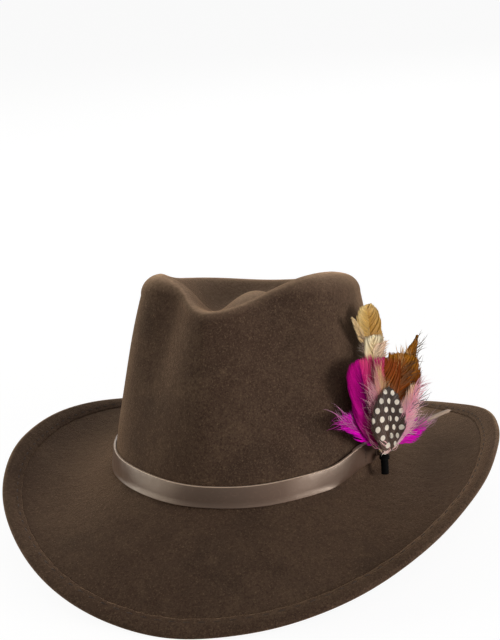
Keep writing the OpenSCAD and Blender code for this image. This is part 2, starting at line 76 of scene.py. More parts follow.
KNOT_W, KNOT_REACH, KNOT_OUT, KNOT_DEPTH, RIBBON_T = 3.4, 1.9, 0.85, 0.95, 0.3
TRIM_ANGLE, STEM_D, STEM_L, STEM_FOOT = 69, 5, 14, 1.1
GAP = 0.3
MM = 0.001

CROWN_A = HEAD_L / 2 + SWEAT_T + GAP + FELT_T
CROWN_B = HEAD_W / 2 + SWEAT_T + GAP + FELT_T
BRIM_A = CROWN_A + BRIM_LONG
BRIM_B = CROWN_B + BRIM_SIDE
FOLD_TOP = FOLD_GAP + FOLD_T

STATIONS = 360                    # points round the felt
WALL_RINGS, BREAK_RINGS, BRIM_RINGS = 33, 9, 25
HEAD_TURN = (180.4, 539.6)        # the sweatband's run, from its joint at the back and round to it

# a row of stitches: how many, and a stitch's length, its thread's thickness and how deep its ends sink
FOLD_STITCHES, FOLD_STITCH = 120, (4.5, 0.5, 0.3)
SWEAT_STITCHES, SWEAT_STITCH, SWEAT_STITCH_UP = 96, (3.4, 0.55, 0.25), SWEAT_BASE + 3
LAP_STITCHES, LAP_STITCH = 4, (1.7, 0.5, 0.35)
LAP_STITCH_IN, LAP_STITCH_FIRST, LAP_STITCH_PITCH = 10, 2.8, 2.3
TAG_STITCH, TAG_CORNER_IN, TAG_CORNER_UP = (1.8, 0.4, 0.3), 0.8, 1.2


# ---------------------------------------------------------------- the shape of the felt

def sind(t):
    return np.sin(np.radians(t))


def cosd(t):
    return np.cos(np.radians(t))


def ease(x):
    c = np.clip(x, 0, 1)
    return c * c * (3 - 2 * c)


def bell(x, w):
    return np.exp(-(x / w) ** 2)


def mix(p, q, k):
    return p + (q - p) * k


def vec(x, y, z):
    return np.stack(np.broadcast_arrays(x, y, z), -1).astype(float)


def unit(v):
    return v / np.linalg.norm(v, axis=-1, keepdims=True)


def polar(r, t, z):
    return vec(r * sind(t), -r * cosd(t), z)


def waver(t, *waves):
    """Sine waves round the hat, added up: each has its height, how often it comes and where it starts."""
    return sum(height * sind(t * often + start) for height, often, start in waves)


def from_front(t):
    return np.abs((np.asarray(t, float) + 540) % 360 - 180)


def from_pinch(t):
    """The angle from the crown's lowest front point, which lies a little to the wearer's right."""
    t = np.asarray(t, float)
    return from_front(t + PINCH_TURN * bell(from_front(t + PINCH_TURN / 2), TURN_W))


def oval(a, b, t, n):
    return ((np.abs(cosd(t)) / a) ** n + (np.abs(sind(t)) / b) ** n) ** (-1 / n)


def break_r_at(t):
    return oval(CROWN_A, CROWN_B, t, 2)


def break_z(t):
    return BREAK_DIP * (1 - cosd(2 * t)) - BREAK_DIP


def crest_plan(t):
    a = from_front(t)
    front = a < 90
    taper = np.where(front, FRONT_TAPER, BACK_TAPER)
    return (oval(CROWN_A - taper, CROWN_B - SIDE_TAPER, t, np.where(front, OVAL_FRONT, OVAL_BACK))
            - PINCH_DEPTH * bell(from_pinch(t) - PINCH_ANGLE, PINCH_W))


def crest_r(t):
    """How round the crest is: a close fold at the front, fuller along the sides."""
    a = from_front(t)
    return (mix(CREST_FRONT_R, CREST_SIDE_R, ease((a - CREST_SIDE_FROM) / CREST_SIDE_RUN))
            + (CREST_BACK_R - CREST_SIDE_R) * ease((a - CREST_BACK_FROM) / CREST_BACK_RUN))


def crest_z(t):
    a = from_pinch(t)
    return np.where(a < PEAK_ANGLE,
                    mix(FRONT_H, PEAK_H, ease(a / PEAK_ANGLE)),
                    mix(PEAK_H, BACK_H, ease((a - PEAK_ANGLE) / (180 - PEAK_ANGLE)))
                    ) - SIDE_SAG * bell(from_front(t - SAG_ANGLE), SAG_W)


def wall_height(t):
    return crest_z(t) - crest_r(t) - break_z(t)


def wall(t, s):
    """The crown's outer wall, from the brim break at s = 0 to the crest at s = 1."""
    plan = (mix(break_r_at(t), crest_plan(t), s) + WALL_SWELL * 4 * s * (1 - s)
            - THUMB_DEPTH * bell(from_pinch(t) - THUMB_ANGLE, THUMB_W) * bell(s - THUMB_AT, THUMB_H))
    return polar(plan, t, break_z(t) + wall_height(t) * s) + vec(CROWN_LEAN * s, 0, 0)


def wall_at(t, h):
    return wall(t, h / wall_height(t))


def wall_normal(t, h):
    return unit(np.cross(wall_at(t, h - 1) - wall_at(t, h + 1), wall_at(t + 1, h) - wall_at(t - 1, h)))


def crest(t, f):
    return (polar(crest_plan(t) - crest_r(t) * (1 - cosd(f)), t, crest_z(t) - crest_r(t) * (1 - sind(f)))
            + vec(CROWN_LEAN, 0, 0))


def ridge(t, u):
    """How much of the ridge stands along the middle of the dent."""
    p = polar((crest_plan(t) - crest_r(t)) * u, t, 0)
    faded = 1 - ease((u - RIDGE_END) / (1 - RIDGE_END))
    return bell(p[..., 0], RIDGE_W) * bell(p[..., 1] - RIDGE_Y, RIDGE_L) * faded


def dent(t, u):
    """The hollow in the crown's top, from its middle at u = 0 to the crest at u = 1."""
    p = polar((crest_plan(t) - crest_r(t)) * u, t, 0)
    x, y = p[..., 0], p[..., 1]
    floor = DENT_FLOOR - FLOOR_SLOPE * y + RIDGE_H * ridge(t, u)
    return vec(x + CROWN_LEAN, y, mix(floor, crest_z(t), ease((u - DENT_FLAT) / (1 - DENT_FLAT))))


EDGE_MEAN = (SIDE_RISE - (FRONT_DROP + BACK_DROP) / 2) / 2
EDGE_PITCH = (BACK_DROP - FRONT_DROP) / 2
EDGE_ROLL = (SIDE_RISE + (FRONT_DROP + BACK_DROP) / 2) / 2


def brim_edge(t):
    z = EDGE_MEAN + EDGE_PITCH * cosd(t) - EDGE_ROLL * cosd(2 * t) - EDGE_WAVE * cosd(4 * t)
    return polar(oval(BRIM_A, BRIM_B, t, OVAL_BRIM), t, z) + vec(0, BRIM_SHIFT, 0)


def brim(t, q):
    """The brim's top, from the break at q = 0 to its edge at q = 1."""
    bend = 4 * q * (1 - q) * (FRONT_ARCH * cosd(t) ** 2 - SIDE_HOLLOW * sind(t) ** 2)
    return mix(wall(t, 0), brim_edge(t), np.asarray(q)[..., None]) + vec(0, 0, bend)


def brim_run(t):
    return np.linalg.norm(brim_edge(t) - wall(t, 0), axis=-1)


def edge_point(t, d, h):
    """A point d in from the brim's edge and h above its top."""
    q = 1 - d / brim_run(t)
    along = brim(t, q + 0.01) - brim(t, q - 0.01)
    around = brim(t + 1, q) - brim(t - 1, q)
    return brim(t, q) + unit(np.cross(along, around)) * np.asarray(h, float)[..., None]


RIM_R = (FELT_T + FOLD_TOP) / 2


def round_rim(a):
    """The rim's round outer face, from its top at 90 degrees to its underside at -90, as (in, up)."""
    return RIM_R * (1 - cosd(a)), RIM_R - FELT_T + RIM_R * sind(a)


# the hat is tipped so that the front and back of its brim rest on the floor
PITCH = math.degrees(math.atan2(FRONT_DROP - BACK_DROP, 2 * BRIM_A))


def tipped(p, by=PITCH):
    """Points turned nose up by an angle, as the hat rests; a negative one turns them back."""
    x, y, z = np.moveaxis(p, -1, 0)
    return vec(x, y * cosd(by) + z * sind(by), z * cosd(by) - y * sind(by))


def seat_shift():
    """How far the tipped hat moves so that its felt lies where the frame's felt lies."""
    t = np.linspace(0, 360, 64, endpoint=False)
    section = [(FOLD_W, -FELT_T)] + [round_rim(a) for a in (90, 45, 0, -45, -90)]
    rim = np.concatenate([tipped(edge_point(t, d, h)) for d, h in section])
    low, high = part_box("felt_body")
    y = (low.y + high.y) / 2 / MM - (rim[:, 1].min() + rim[:, 1].max()) / 2
    return np.array([0, y, low.z / MM - rim[:, 2].min()])


SHIFT = seat_shift()


WAVE_COUNT, WAVE_SHORT, WAVE_LONG, WAVE_RISE = 6, 45, 110, 0.22 / 80


def make_waves():
    """For each of the three directions a few waves: which way each runs, its height and where it starts."""
    rng = np.random.default_rng(7)
    waves = []
    for k in range(3):
        for _ in range(WAVE_COUNT):
            length = rng.uniform(WAVE_SHORT, WAVE_LONG)
            way = unit(rng.normal(size=3)) * 2 * math.pi / length
            waves.append((k, way, WAVE_RISE * length, rng.uniform(0, 2 * math.pi)))
    return waves


WAVES = make_waves()


def hand(p):
    """The small unevenness that hand pressing leaves in felt, as a smooth shift of every point."""
    out = np.zeros_like(p)
    for k, way, height, start in WAVES:
        out[..., k] += height * np.sin(p @ way + start)
    return out


def resting(p):
    """From the hat's own axes, in millimetres, to the frame, in metres."""
    p = np.asarray(p, float)
    return (tipped(p + hand(p)) + SHIFT) * MM


# ---------------------------------------------------------------- mesh helpers

def mesh_object(name, points, faces, material, smooth=True):
    mesh = bpy.data.meshes.new(name)
    mesh.from_pydata(np.asarray(points, float).reshape(-1, 3).tolist(), [], faces)
    mesh.validate()
    obj = bpy.data.objects.new(name, mesh)
    bpy.context.scene.collection.objects.link(obj)
    mesh.materials.append(material)
    if smooth:
        mesh.shade_smooth()
    else:
        mesh.shade_flat()
    return obj


def grid_faces(rings, n, first=0, flip=False):
    """The faces between neighbouring rings of n points each, of which the first point has index first."""
    faces = []
    for i in range(rings - 1):
        for j in range(n):
            a, b = first + i * n + j, first + i * n + (j + 1) % n
            quad = (a, b, b + n, a + n)
            faces.append(quad[::-1] if flip else quad)
    return faces


def outward(obj):
    """Turns the faces of a closed mesh outwards."""
    bm = bmesh.new()
    bm.from_mesh(obj.data)
    bmesh.ops.recalc_face_normals(bm, faces=bm.faces)
    bm.to_mesh(obj.data)
    bm.free()
    return obj


def swept(name, rings, material):
    """A closed solid through rings of points on the hat's own axes, with flat ends."""
    rings = np.asarray(rings, float)
    n, m = rings.shape[:2]
    ends = [list(range(m))[::-1], [(n - 1) * m + j for j in range(m)]]
    return outward(mesh_object(name, resting(rings.reshape(-1, 3)), grid_faces(n, m) + ends, material))


def tube(path, radius, sides):
    """Rings of a round tube along a path; radius may change along it."""
    path = np.asarray(path, float)
    radius = np.broadcast_to(np.asarray(radius, float), len(path))
    run = unit(np.gradient(path, axis=0))
    side = unit(np.cross(run[0], [0.3, 0.2, 0.93]))
    rings = []
    for p, d, r in zip(path, run, radius):
        side = unit(side - d * (side @ d))
        up = np.cross(d, side)
        a = np.arange(sides) * 2 * math.pi / sides
        rings.append(p + r * (np.cos(a)[:, None] * side + np.sin(a)[:, None] * up))
    return np.array(rings)


def finish_piece(obj, replaced):
    """Puts a piece under the root body and hides the node that it stands for."""
    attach(obj, "root")
    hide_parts(replaced)
    return obj


# ---------------------------------------------------------------- materials

class Nodes:
    """Builds a tree of nodes: an input given as a socket is linked, anything else is set."""

    def __init__(self, tree):
        self.tree = tree
        self.tree.nodes.clear()

    def put(self, node, name, value):
        socket = node.inputs[name]
        if isinstance(value, bpy.types.NodeSocket):
            self.tree.links.new(value, socket)
        else:
            socket.default_value = value

    def add(self, kind, settings=None, **inputs):
        node = self.tree.nodes.new(kind)
        for key, value in (settings or {}).items():
            setattr(node, key, value)
        for key, value in inputs.items():
            self.put(node, key.replace("_", " "), value)
        return node

    def math(self, operation, a, b=0.0):
        node = self.add("ShaderNodeMath", {"operation": operation})
        for i, value in enumerate((a, b)):
            self.put(node, i, value)
        return node.outputs[0]

    def times(self, a, b):
        return self.math("MULTIPLY", a, b)


class Graph(Nodes):
    """A surface's nodes, which end in one shader and read a place on the piece."""

    def __init__(self, name, color):
        self.material = bpy.data.materials.new(name)
        self.material.use_nodes = True
        self.material.diffuse_color = (*color, 1)
        super().__init__(self.material.node_tree)
        self.shader = self.add("ShaderNodeBsdfPrincipled")
        self.add("ShaderNodeOutputMaterial", Surface=self.shader.outputs[0])
        self.position = self.add("ShaderNodeTexCoord").outputs["Object"]

    def noise(self, scale, detail=3.0, rough=0.5, at=None, distortion=0.0):
        return self.add("ShaderNodeTexNoise", Vector=at or self.position, Scale=scale, Detail=detail,
                        Roughness=rough, Distortion=distortion).outputs["Fac"]

    def span(self, value, low, high, to_low=0.0, to_high=1.0):
        """A value's way from low to high, as an even swing from to_low to to_high."""
        node = self.add("ShaderNodeMapRange", {"interpolation_type": "SMOOTHSTEP"})
        for i, v in enumerate((value, low, high, to_low, to_high)):
            self.put(node, i, v)
        return node.outputs[0]

    def blend(self, factor, a, b, mode="MIX"):
        node = self.add("ShaderNodeMix", {"data_type": "RGBA", "blend_type": mode})
        for i, value in ((0, factor), (6, a), (7, b)):
            if isinstance(value, tuple) and len(value) == 3:
                value = (*value, 1)
            self.put(node, i, value)
        return node.outputs[2]

    def vector(self, name):
        return self.add("ShaderNodeAttribute", {"attribute_name": name}).outputs["Vector"]

    def value(self, name):
        return self.add("ShaderNodeAttribute", {"attribute_name": name}).outputs["Fac"]

    def stretch(self, scale):
        return self.add("ShaderNodeMapping", Vector=self.position, Scale=scale).outputs[0]

    def weave(self):
        """The two ways across a cloth, from its own UV map in metres."""
        uv = self.add("ShaderNodeUVMap", {"uv_map": "weave"}).outputs[0]
        return self.add("ShaderNodeSeparateXYZ", Vector=uv).outputs

    def wave(self, value, pitch):
        return self.math("SINE", self.times(value, 2 * math.pi / pitch))

    def bump(self, height, distance, strength=1.0, normal=None):
        node = self.add("ShaderNodeBump", Height=height, Distance=distance, Strength=strength)
        if normal:
            self.put(node, "Normal", normal)
        return node.outputs[0]

    def finish(self, **inputs):
        for key, value in inputs.items():
            if isinstance(value, tuple) and len(value) == 3 and key != "Normal":
                value = (*value, 1)
            self.put(self.shader, key.replace("_", " "), value)
        return self.material


def srgb(r, g, b):
    """A colour written as it looks, from 0 to 255, as the linear values that a shader takes."""
    return tuple((c / 255 / 12.92) if c <= 10 else ((c / 255 + 0.055) / 1.055) ** 2.4 for c in (r, g, b))


def toned(tone, factor, lift=0.0):
    """A tone made darker or paler, and never brighter than white."""
    return tuple(min(1, c * factor + lift) for c in tone)


def felt_material():
    g = Graph("wool felt", srgb(70, 56, 46))
    broad = g.noise(9, 3, 0.6)
    dusk = g.noise(26, 3, 0.6)
    pale_patches = g.noise(34, 3, 0.6, distortion=0.4)
    cloud = g.noise(60, 4, 0.6)
    mottle = g.noise(460, 4, 0.65)
    grain = g.noise(980, 3, 0.7, distortion=0.5)
    fibre = g.noise(1300, 3, 0.7, at=g.stretch((1, 1, 0.4)), distortion=0.6)
    color = g.blend(g.span(broad, 0.3, 0.7), srgb(70, 53, 42), srgb(80, 63, 50))
    color = g.blend(g.span(cloud, 0.35, 0.7, 0, 0.4), color, srgb(91, 73, 58))
    color = g.blend(g.span(dusk, 0.5, 0.68, 0, 0.5), color, srgb(54, 42, 34))
    color = g.blend(g.span(pale_patches, 0.56, 0.72, 0, 0.35), color, srgb(104, 84, 66))
    color = g.blend(g.span(mottle, 0.42, 0.6, 0, 0.45), color, srgb(56, 42, 34))
    color = g.blend(g.span(grain, 0.54, 0.68, 0, 0.72), color, srgb(112, 91, 72))
    color = g.blend(g.span(grain, 0.34, 0.45, 0.6, 0), color, srgb(38, 29, 24))
    color = g.blend(g.span(fibre, 0.61, 0.72, 0, 0.55), color, srgb(142, 118, 94))
    # painted highlight: the dent, its ridge and the crest are made paler where light falls on them, in
    # patches like rubbed felt
    highlight_share = g.times(g.value("painted_highlight"), g.span(mottle, 0.3, 0.6, 0.8, 0.55))
    color = g.blend(highlight_share, color, srgb(188, 158, 130))
    nap = g.bump(grain, 0.0005, 0.55)
    lumps = g.bump(g.noise(150, 3, 0.55), 0.0008, 0.45, nap)
    return g.finish(Base_Color=color, Roughness=g.span(mottle, 0.3, 0.7, 0.82, 0.96), Normal=lumps,
                    Specular_IOR_Level=0.12, Sheen_Weight=0.9, Sheen_Roughness=0.34,
                    Sheen_Tint=srgb(232, 192, 152))


# ---------------------------------------------------------------- felt

def outer_profile(t):
    """The felt's outer surface as rings: the dent, the crest, the wall, the rounded break and the brim."""
    rings = [dent(t, u) for u in DENT_STEPS] + [crest(t, f) for f in CREST_STEPS]
    foot = BREAK_R / wall_height(t)
    rings += [wall(t, mix(1, foot, k)) for k in np.linspace(0, 1, WALL_RINGS)[:-1]]
    run = brim_run(t)
    start, end = BREAK_R / run, 1 - (FOLD_W + 1.6) / run
    above, root, beyond = wall(t, foot), wall(t, 0), brim(t, start)
    rings += [mix(mix(above, root, k), mix(root, beyond, k), k) for k in np.linspace(0, 1, BREAK_RINGS)]
    rings += [brim(t, mix(start, end, k)) for k in np.linspace(0, 1, BRIM_RINGS)[1:]]
    return rings


def fold_profile(t):
    """The folded edge, from under its raw edge, round the wire's channel and over the rim."""
    slit = math.degrees(math.asin(FOLD_GAP / CHANNEL_D))
    near = (FOLD_W + CHANNEL_AT) / 2
    section = [(FOLD_W, 0), (near, 0)]
    for i in range(9):
        a = math.radians(slit + (360 - 2 * slit) * i / 8)
        section.append((CHANNEL_AT + CHANNEL_D / 2 * math.cos(a),
                        FOLD_GAP / 2 - CHANNEL_D / 2 * math.sin(a)))
    section += [(near, FOLD_GAP), (FOLD_W + 0.6, FOLD_GAP), (FOLD_W + 0.75, FOLD_GAP + 0.1),
                (FOLD_W + 0.6, FOLD_GAP + 0.22), (FOLD_W - 0.3, FOLD_GAP + 0.55)]
    edge = len(section)
    line = FOLD_W - STITCH_IN
    stitched = [(line + 0.9, -0.98), (line + 0.4, -0.84), (line, -0.7), (line - 0.4, -0.56),
                (line - 0.9, -0.4), (line - 2.0, -0.18), (line - 3.2, -0.02), (RIM_R + 1.6, 0.02),
                (RIM_R + 0.6, 0)]
    dimple = 0.5 + 0.5 * cosd(t * FOLD_STITCHES)
    fray = waver(t, (0.22, 47, 0), (0.16, 109, 40), (0.1, 173, 0))
    rings = [edge_point(t, d + (fray if i >= edge - 3 else 0), h) for i, (d, h) in enumerate(section)]
    rings += [edge_point(t, d, FOLD_TOP + h - 0.2 * bell(d - line, 0.9) * dimple) for d, h in stitched]
    rings += [edge_point(t, *round_rim(a)) for a in np.arange(90, -91, -18)]
    rings += [edge_point(t, d, -FELT_T) for d in (RIM_R + 2, (RIM_R + FOLD_W) / 2 + 1, FOLD_W)]
    return rings


def dent_painted_highlight(t, u):
    """How much the dent is painted paler as a highlight where light falls, with a rubbed look: a little all
    over, most on its ridge, and again where it nears the crest.
    """
    return 0.24 + 1.25 * ridge(t, u) ** 1.5 + 0.55 * bell(u - 1.02, 0.06)


def crest_painted_highlight(t, f):
    """How much the crest is painted paler as a highlight where light falls, with a rubbed look: most on its
    top, and above all at the wearer's right brow.
    """
    brow = 1 + 0.7 * bell((t - BROW_ANGLE + 180) % 360 - 180, BROW_W)
    return brow * (0.6 * bell(f - 76, 16) + 0.27 * ease(f / 60))


def make_felt(material):
    t = np.arange(STATIONS) * 360 / STATIONS
    outer = np.array(outer_profile(t))
    along = np.concatenate([outer[1:2] - outer[:1], outer[2:] - outer[:-2], outer[-1:] - outer[-2:-1]])
    around = np.roll(outer, -1, 1) - np.roll(outer, 1, 1)
    inner = (outer - unit(np.cross(along, around)) * FELT_T)[::-2]
    rings = np.concatenate([outer, np.array(fold_profile(t)), inner])
    middle = dent(np.array([0.0]), 0)[0]
    points = np.concatenate([[middle], rings.reshape(-1, 3), [middle - [0, 0, FELT_T]]])
    n = STATIONS
    faces = [(0, 1 + j, 1 + (j + 1) % n) for j in range(n)]
    faces += grid_faces(len(rings), n, first=1, flip=True)
    last = len(points) - 1
    faces += [(last, last - n + (j + 1) % n, last - n + j) for j in range(n)]
    felt = mesh_object("felt_hat_body", resting(points), faces, material)
    # how much painted highlight each ring of the dent and the crest takes
    highlight_share = [dent_painted_highlight(t, u) for u in DENT_STEPS] + [crest_painted_highlight(t, f) for f in CREST_STEPS]
    painted_highlight = np.zeros(len(points))
    painted_highlight[0] = dent_painted_highlight(np.array([0.0]), 0)[0]
    painted_highlight[1:1 + len(highlight_share) * n] = np.ravel(highlight_share)
    set_attribute(felt.data, "painted_highlight", "FLOAT", painted_highlight)
    return finish_piece(felt, "felt_body")


# ---------------------------------------------------------------- strands: stitches, barbs and down

THIN_TIP = 0.06                   # a strand's breadth at its tip, as a share of its breadth at the root


def strand_tree():
    """Lays a tapered strand along a curve from each point. A point carries how its strand leads off and
    curls, its flat side and breadth, and its tones; along runs from 0 at the root to 1 at the tip."""
    tree = bpy.data.node_groups.new("strands", "GeometryNodeTree")
    tree.interface.new_socket("Strands", in_out="INPUT", socket_type="NodeSocketGeometry")
    for name, kind, value in (("Thickness", "Float", 0.0001), ("Fullness", "Float", 3.0),
                              ("Sway", "Float", 0.0), ("Sides", "Int", 4), ("Rows", "Int", 5),
                              ("Seed", "Int", 1)):
        given = tree.interface.new_socket(name, in_out="INPUT", socket_type="NodeSocket" + kind)
        given.default_value = value
    tree.interface.new_socket("Material", in_out="INPUT", socket_type="NodeSocketMaterial")
    tree.interface.new_socket("Strands", in_out="OUTPUT", socket_type="NodeSocketGeometry")
    g = Nodes(tree)
    add, put, times = g.add, g.put, g.times

    def plus(a, b):
        node = add("ShaderNodeVectorMath", {"operation": "ADD"})
        put(node, 0, a)
        put(node, 1, b)
        return node.outputs[0]

    def scaled(vector, scale):
        node = add("ShaderNodeVectorMath", {"operation": "SCALE"}, Scale=scale)
        put(node, 0, vector)
        return node.outputs[0]

    def read(name, kind="FLOAT"):
        node = add("GeometryNodeInputNamedAttribute", {"data_type": kind}, Name=name)
        return node.outputs["Attribute"]

    def store(geometry, name, value, kind="FLOAT"):
        node = add("GeometryNodeStoreNamedAttribute", {"data_type": kind, "domain": "POINT"},
                   Geometry=geometry, Name=name, Value=value)
        return node.outputs[0]

    given = add("NodeGroupInput").outputs
    cone = add("GeometryNodeMeshCone", {"fill_type": "NGON"}, Radius_Top=1.0, Radius_Bottom=1.0, Depth=1.0)
    put(cone, "Vertices", given["Sides"])
    put(cone, "Side Segments", given["Rows"])
    split = add("ShaderNodeSeparateXYZ", Vector=add("GeometryNodeInputPosition").outputs[0])
    shape = store(cone.outputs["Mesh"], "across", split.outputs[0])
    shape = store(shape, "up", split.outputs[1])
    shape = store(shape, "along", split.outputs[2])
    random = add("FunctionNodeRandomValue", {"data_type": "FLOAT_VECTOR"})
    put(random, 0, (-1.0, -1.0, -1.0))
    put(random, 1, (1.0, 1.0, 1.0))
    put(random, "Seed", given["Seed"])
    points = store(given["Strands"], "sway", random.outputs[0], "FLOAT_VECTOR")
    points = store(points, "root", add("GeometryNodeInputPosition").outputs[0], "FLOAT_VECTOR")
    laid = add("GeometryNodeInstanceOnPoints", Points=points, Instance=shape)
    real = add("GeometryNodeRealizeInstances", Geometry=laid.outputs[0]).outputs[0]
    way = read("along")
    way2 = times(way, way)
    taper = g.math("MAXIMUM", g.math("SUBTRACT", 1.0, g.math("POWER", way, given["Fullness"])), THIN_TIP)
    wide = times(times(read("across"), read("breadth")), taper)
    thick = times(times(read("up"), given["Thickness"]), taper)
    place = read("root", "FLOAT_VECTOR")
    for name, scale in (("lead", way), ("curl", way2), ("sway", times(way2, given["Sway"])), ("flat", wide),
                        ("face", thick)):
        place = plus(place, scaled(read(name, "FLOAT_VECTOR"), scale))
    moved = add("GeometryNodeSetPosition", Geometry=real, Position=place)
    smooth = add("GeometryNodeSetShadeSmooth", Geometry=moved.outputs[0])
    done = add("GeometryNodeSetMaterial", Geometry=smooth.outputs[0], Material=given["Material"])
    tree.links.new(done.outputs[0], add("NodeGroupOutput").inputs[0])
    return tree


STRANDS = strand_tree()


def set_attribute(mesh, name, kind, values):
    field = {"FLOAT": "value", "FLOAT_VECTOR": "vector", "FLOAT_COLOR": "color"}[kind]
    attribute = mesh.attributes.get(name) or mesh.attributes.new(name, kind, "POINT")
    attribute.data.foreach_set(field, np.ascontiguousarray(values, np.float32).ravel())


def lay_strands(name, data, material, thickness, fullness=3.0, sway=0.0, sides=4, rows=5, seed=1):
    """A plain mesh of strands. data holds their root, middle and tip points and breadths in metres, the
    normals of their flat sides, and their tones and marks if they have any."""
    root, middle, tip, face = (np.asarray(data[k], float) for k in ("root", "middle", "tip", "face"))
    lead, curl = 4 * middle - 3 * root - tip, 2 * root - 4 * middle + 2 * tip
    flat = unit(np.cross(face, tip - root))
    count = len(root)
    mesh = bpy.data.meshes.new(name)
    mesh.from_pydata(root.tolist(), [], [])
    set_attribute(mesh, "lead", "FLOAT_VECTOR", lead)
    set_attribute(mesh, "curl", "FLOAT_VECTOR", curl)
    set_attribute(mesh, "flat", "FLOAT_VECTOR", flat)
    set_attribute(mesh, "face", "FLOAT_VECTOR", face)
    set_attribute(mesh, "breadth", "FLOAT", np.broadcast_to(data["breadth"], count))
    for key in ("tone_root", "tone_tip", "mark"):
        if key in data:
            set_attribute(mesh, key, "FLOAT_VECTOR", data[key])
    obj = bpy.data.objects.new(name, mesh)
    bpy.context.scene.collection.objects.link(obj)
    modifier = obj.modifiers.new("strands", "NODES")
    modifier.node_group = STRANDS
    given = {"Thickness": thickness, "Fullness": fullness, "Sway": sway, "Sides": sides, "Rows": rows,
             "Seed": seed, "Material": material}
    for item in STRANDS.interface.items_tree:
        if item.in_out == "INPUT" and item.name in given:
            modifier[item.identifier] = given[item.name]
    depsgraph = bpy.context.evaluated_depsgraph_get()
    made = bpy.data.meshes.new_from_object(obj.evaluated_get(depsgraph), preserve_all_data_layers=True,
                                           depsgraph=depsgraph)
    obj.modifiers.clear()
    obj.data = made
    made.name = name
    for key in ("lead", "curl", "flat", "face", "breadth", "sway", "root", "across", "up"):
        if key in made.attributes:
            made.attributes.remove(made.attributes[key])
    return obj


def joined(name, first, *others):
    bpy.ops.object.select_all(action="DESELECT")
    for o in (first, *others):
        o.select_set(True)
    bpy.context.view_layer.objects.active = first
    bpy.ops.object.join()
    first.name = name
    first.data.name = name
    return first


def stitch_mesh(name, centres, runs, normals, size, material):
    """Thread stitches that rise from a surface and dip back into it."""
    length, thread, sink = size
    half = unit(runs) * length / 2
    data = {"root": centres - half - normals * sink, "tip": centres + half - normals * sink,
            "middle": centres + normals * thread * 0.8}
    data = {key: resting(place) for key, place in data.items()}
    data["breadth"] = thread / 2 * MM
    data["face"] = unit(resting(centres + normals) - resting(centres))
    return lay_strands(name, data, material, thread / 2 * MM, fullness=12, sides=6, rows=5)


def stitch_row(name, slot, replaced, *row):
    return finish_piece(stitch_mesh(name, *row), replaced)


# ---------------------------------------------------------------- leather, thread, cloth and metal finishes

# the pitch of the tape's, the tag's and the ribbon's threads, in metres
TAPE_THREAD, TAG_THREAD, RIBBON_RIB = 0.0006, 0.0005, 0.0009


def leather_material(name, base, worn, grain=1.0, rough=0.42, specular=0.5, edge=None):
    """Smooth leather. Given edge, the tone of a painted highlight along the top edge, uneven like rubbed
    leather, it reads two attributes:
    one that marks where that edge highlight lies, and one that paints the leather paler as a highlight where
    it is over a half and darker as shade where it is under."""
    g = Graph(name, base)
    broad = g.noise(22, 3, 0.6)
    cells = g.add("ShaderNodeTexVoronoi", {"feature": "F1"}, Vector=g.position, Scale=900.0)
    pores = cells.outputs["Distance"]
    wrinkle = g.noise(340, 4, 0.6, distortion=0.8)
    color = g.blend(g.span(broad, 0.35, 0.7), base, toned(base, 0.86))
    color = g.blend(g.span(wrinkle, 0.52, 0.75, 0, 0.35), color, worn)
    rub = g.noise(90, 5, 0.7)
    # painted light: highlights and shade round the band, and a painted highlight along its top edge, made
    # uneven like rubbed leather
    if edge:
        painted_light = g.blend(g.value("painted_light"), (0.5, 0.5, 0.5), (1.5, 1.5, 1.5))
        color = g.blend(1.0, color, painted_light, "MULTIPLY")
        edge_highlight = g.times(g.value("edge"), g.span(rub, 0.2, 0.5, 0.7, 1))
        color = g.blend(edge_highlight, color, edge)
    roughness = g.span(rub, 0.3, 0.7, rough - 0.06, rough + 0.1)
    height = g.math("ADD", g.times(pores, 0.5), wrinkle)
    return g.finish(Base_Color=color, Roughness=roughness, Normal=g.bump(height, 0.00018 * grain, 0.5),
                    Specular_IOR_Level=specular, Specular_Tint=srgb(255, 236, 216))


def thread_material(name, tone):
    g = Graph(name, tone)
    twist = g.add("ShaderNodeTexWave", {"wave_type": "BANDS", "bands_direction": "DIAGONAL"},
                  Vector=g.position, Scale=700.0, Distortion=1.5).outputs["Fac"]
    fuzz = g.noise(2200, 3, 0.7)
    # painted shade: the grooves of the twist are darker
    color = g.blend(g.span(twist, 0.1, 0.6), toned(tone, 0.55), tone)
    color = g.blend(g.span(fuzz, 0.55, 0.8, 0, 0.4), color, toned(tone, 1.5, 0.02))
    return g.finish(Base_Color=color, Roughness=g.span(fuzz, 0.3, 0.7, 0.7, 0.9),
                    Normal=g.bump(twist, 0.00008, 0.7), Specular_IOR_Level=0.3, Sheen_Weight=0.2)


def steel_material(name, tone, rough):
    g = Graph(name, tone)
    drawn = g.noise(500, 4, 0.6, at=g.stretch((1, 1, 0.08)))
    spots = g.noise(160, 4, 0.7)
    color = g.blend(g.span(spots, 0.55, 0.75), tone, toned(tone, 0.6))
    return g.finish(Base_Color=color, Metallic=1.0, Roughness=g.span(drawn, 0.3, 0.7, rough, rough + 0.18),
                    Normal=g.bump(drawn, 0.00004, 0.4))


def plastic_material(name, tone):
    g = Graph(name, tone)
    cloud = g.noise(120, 3, 0.6)
    fine = g.noise(900, 3, 0.6)
    color = g.blend(g.span(cloud, 0.35, 0.7), tone, toned(tone, 0.8))
    return g.finish(Base_Color=color, Roughness=g.span(fine, 0.3, 0.7, 0.35, 0.5),
                    Normal=g.bump(fine, 0.00004, 0.3))


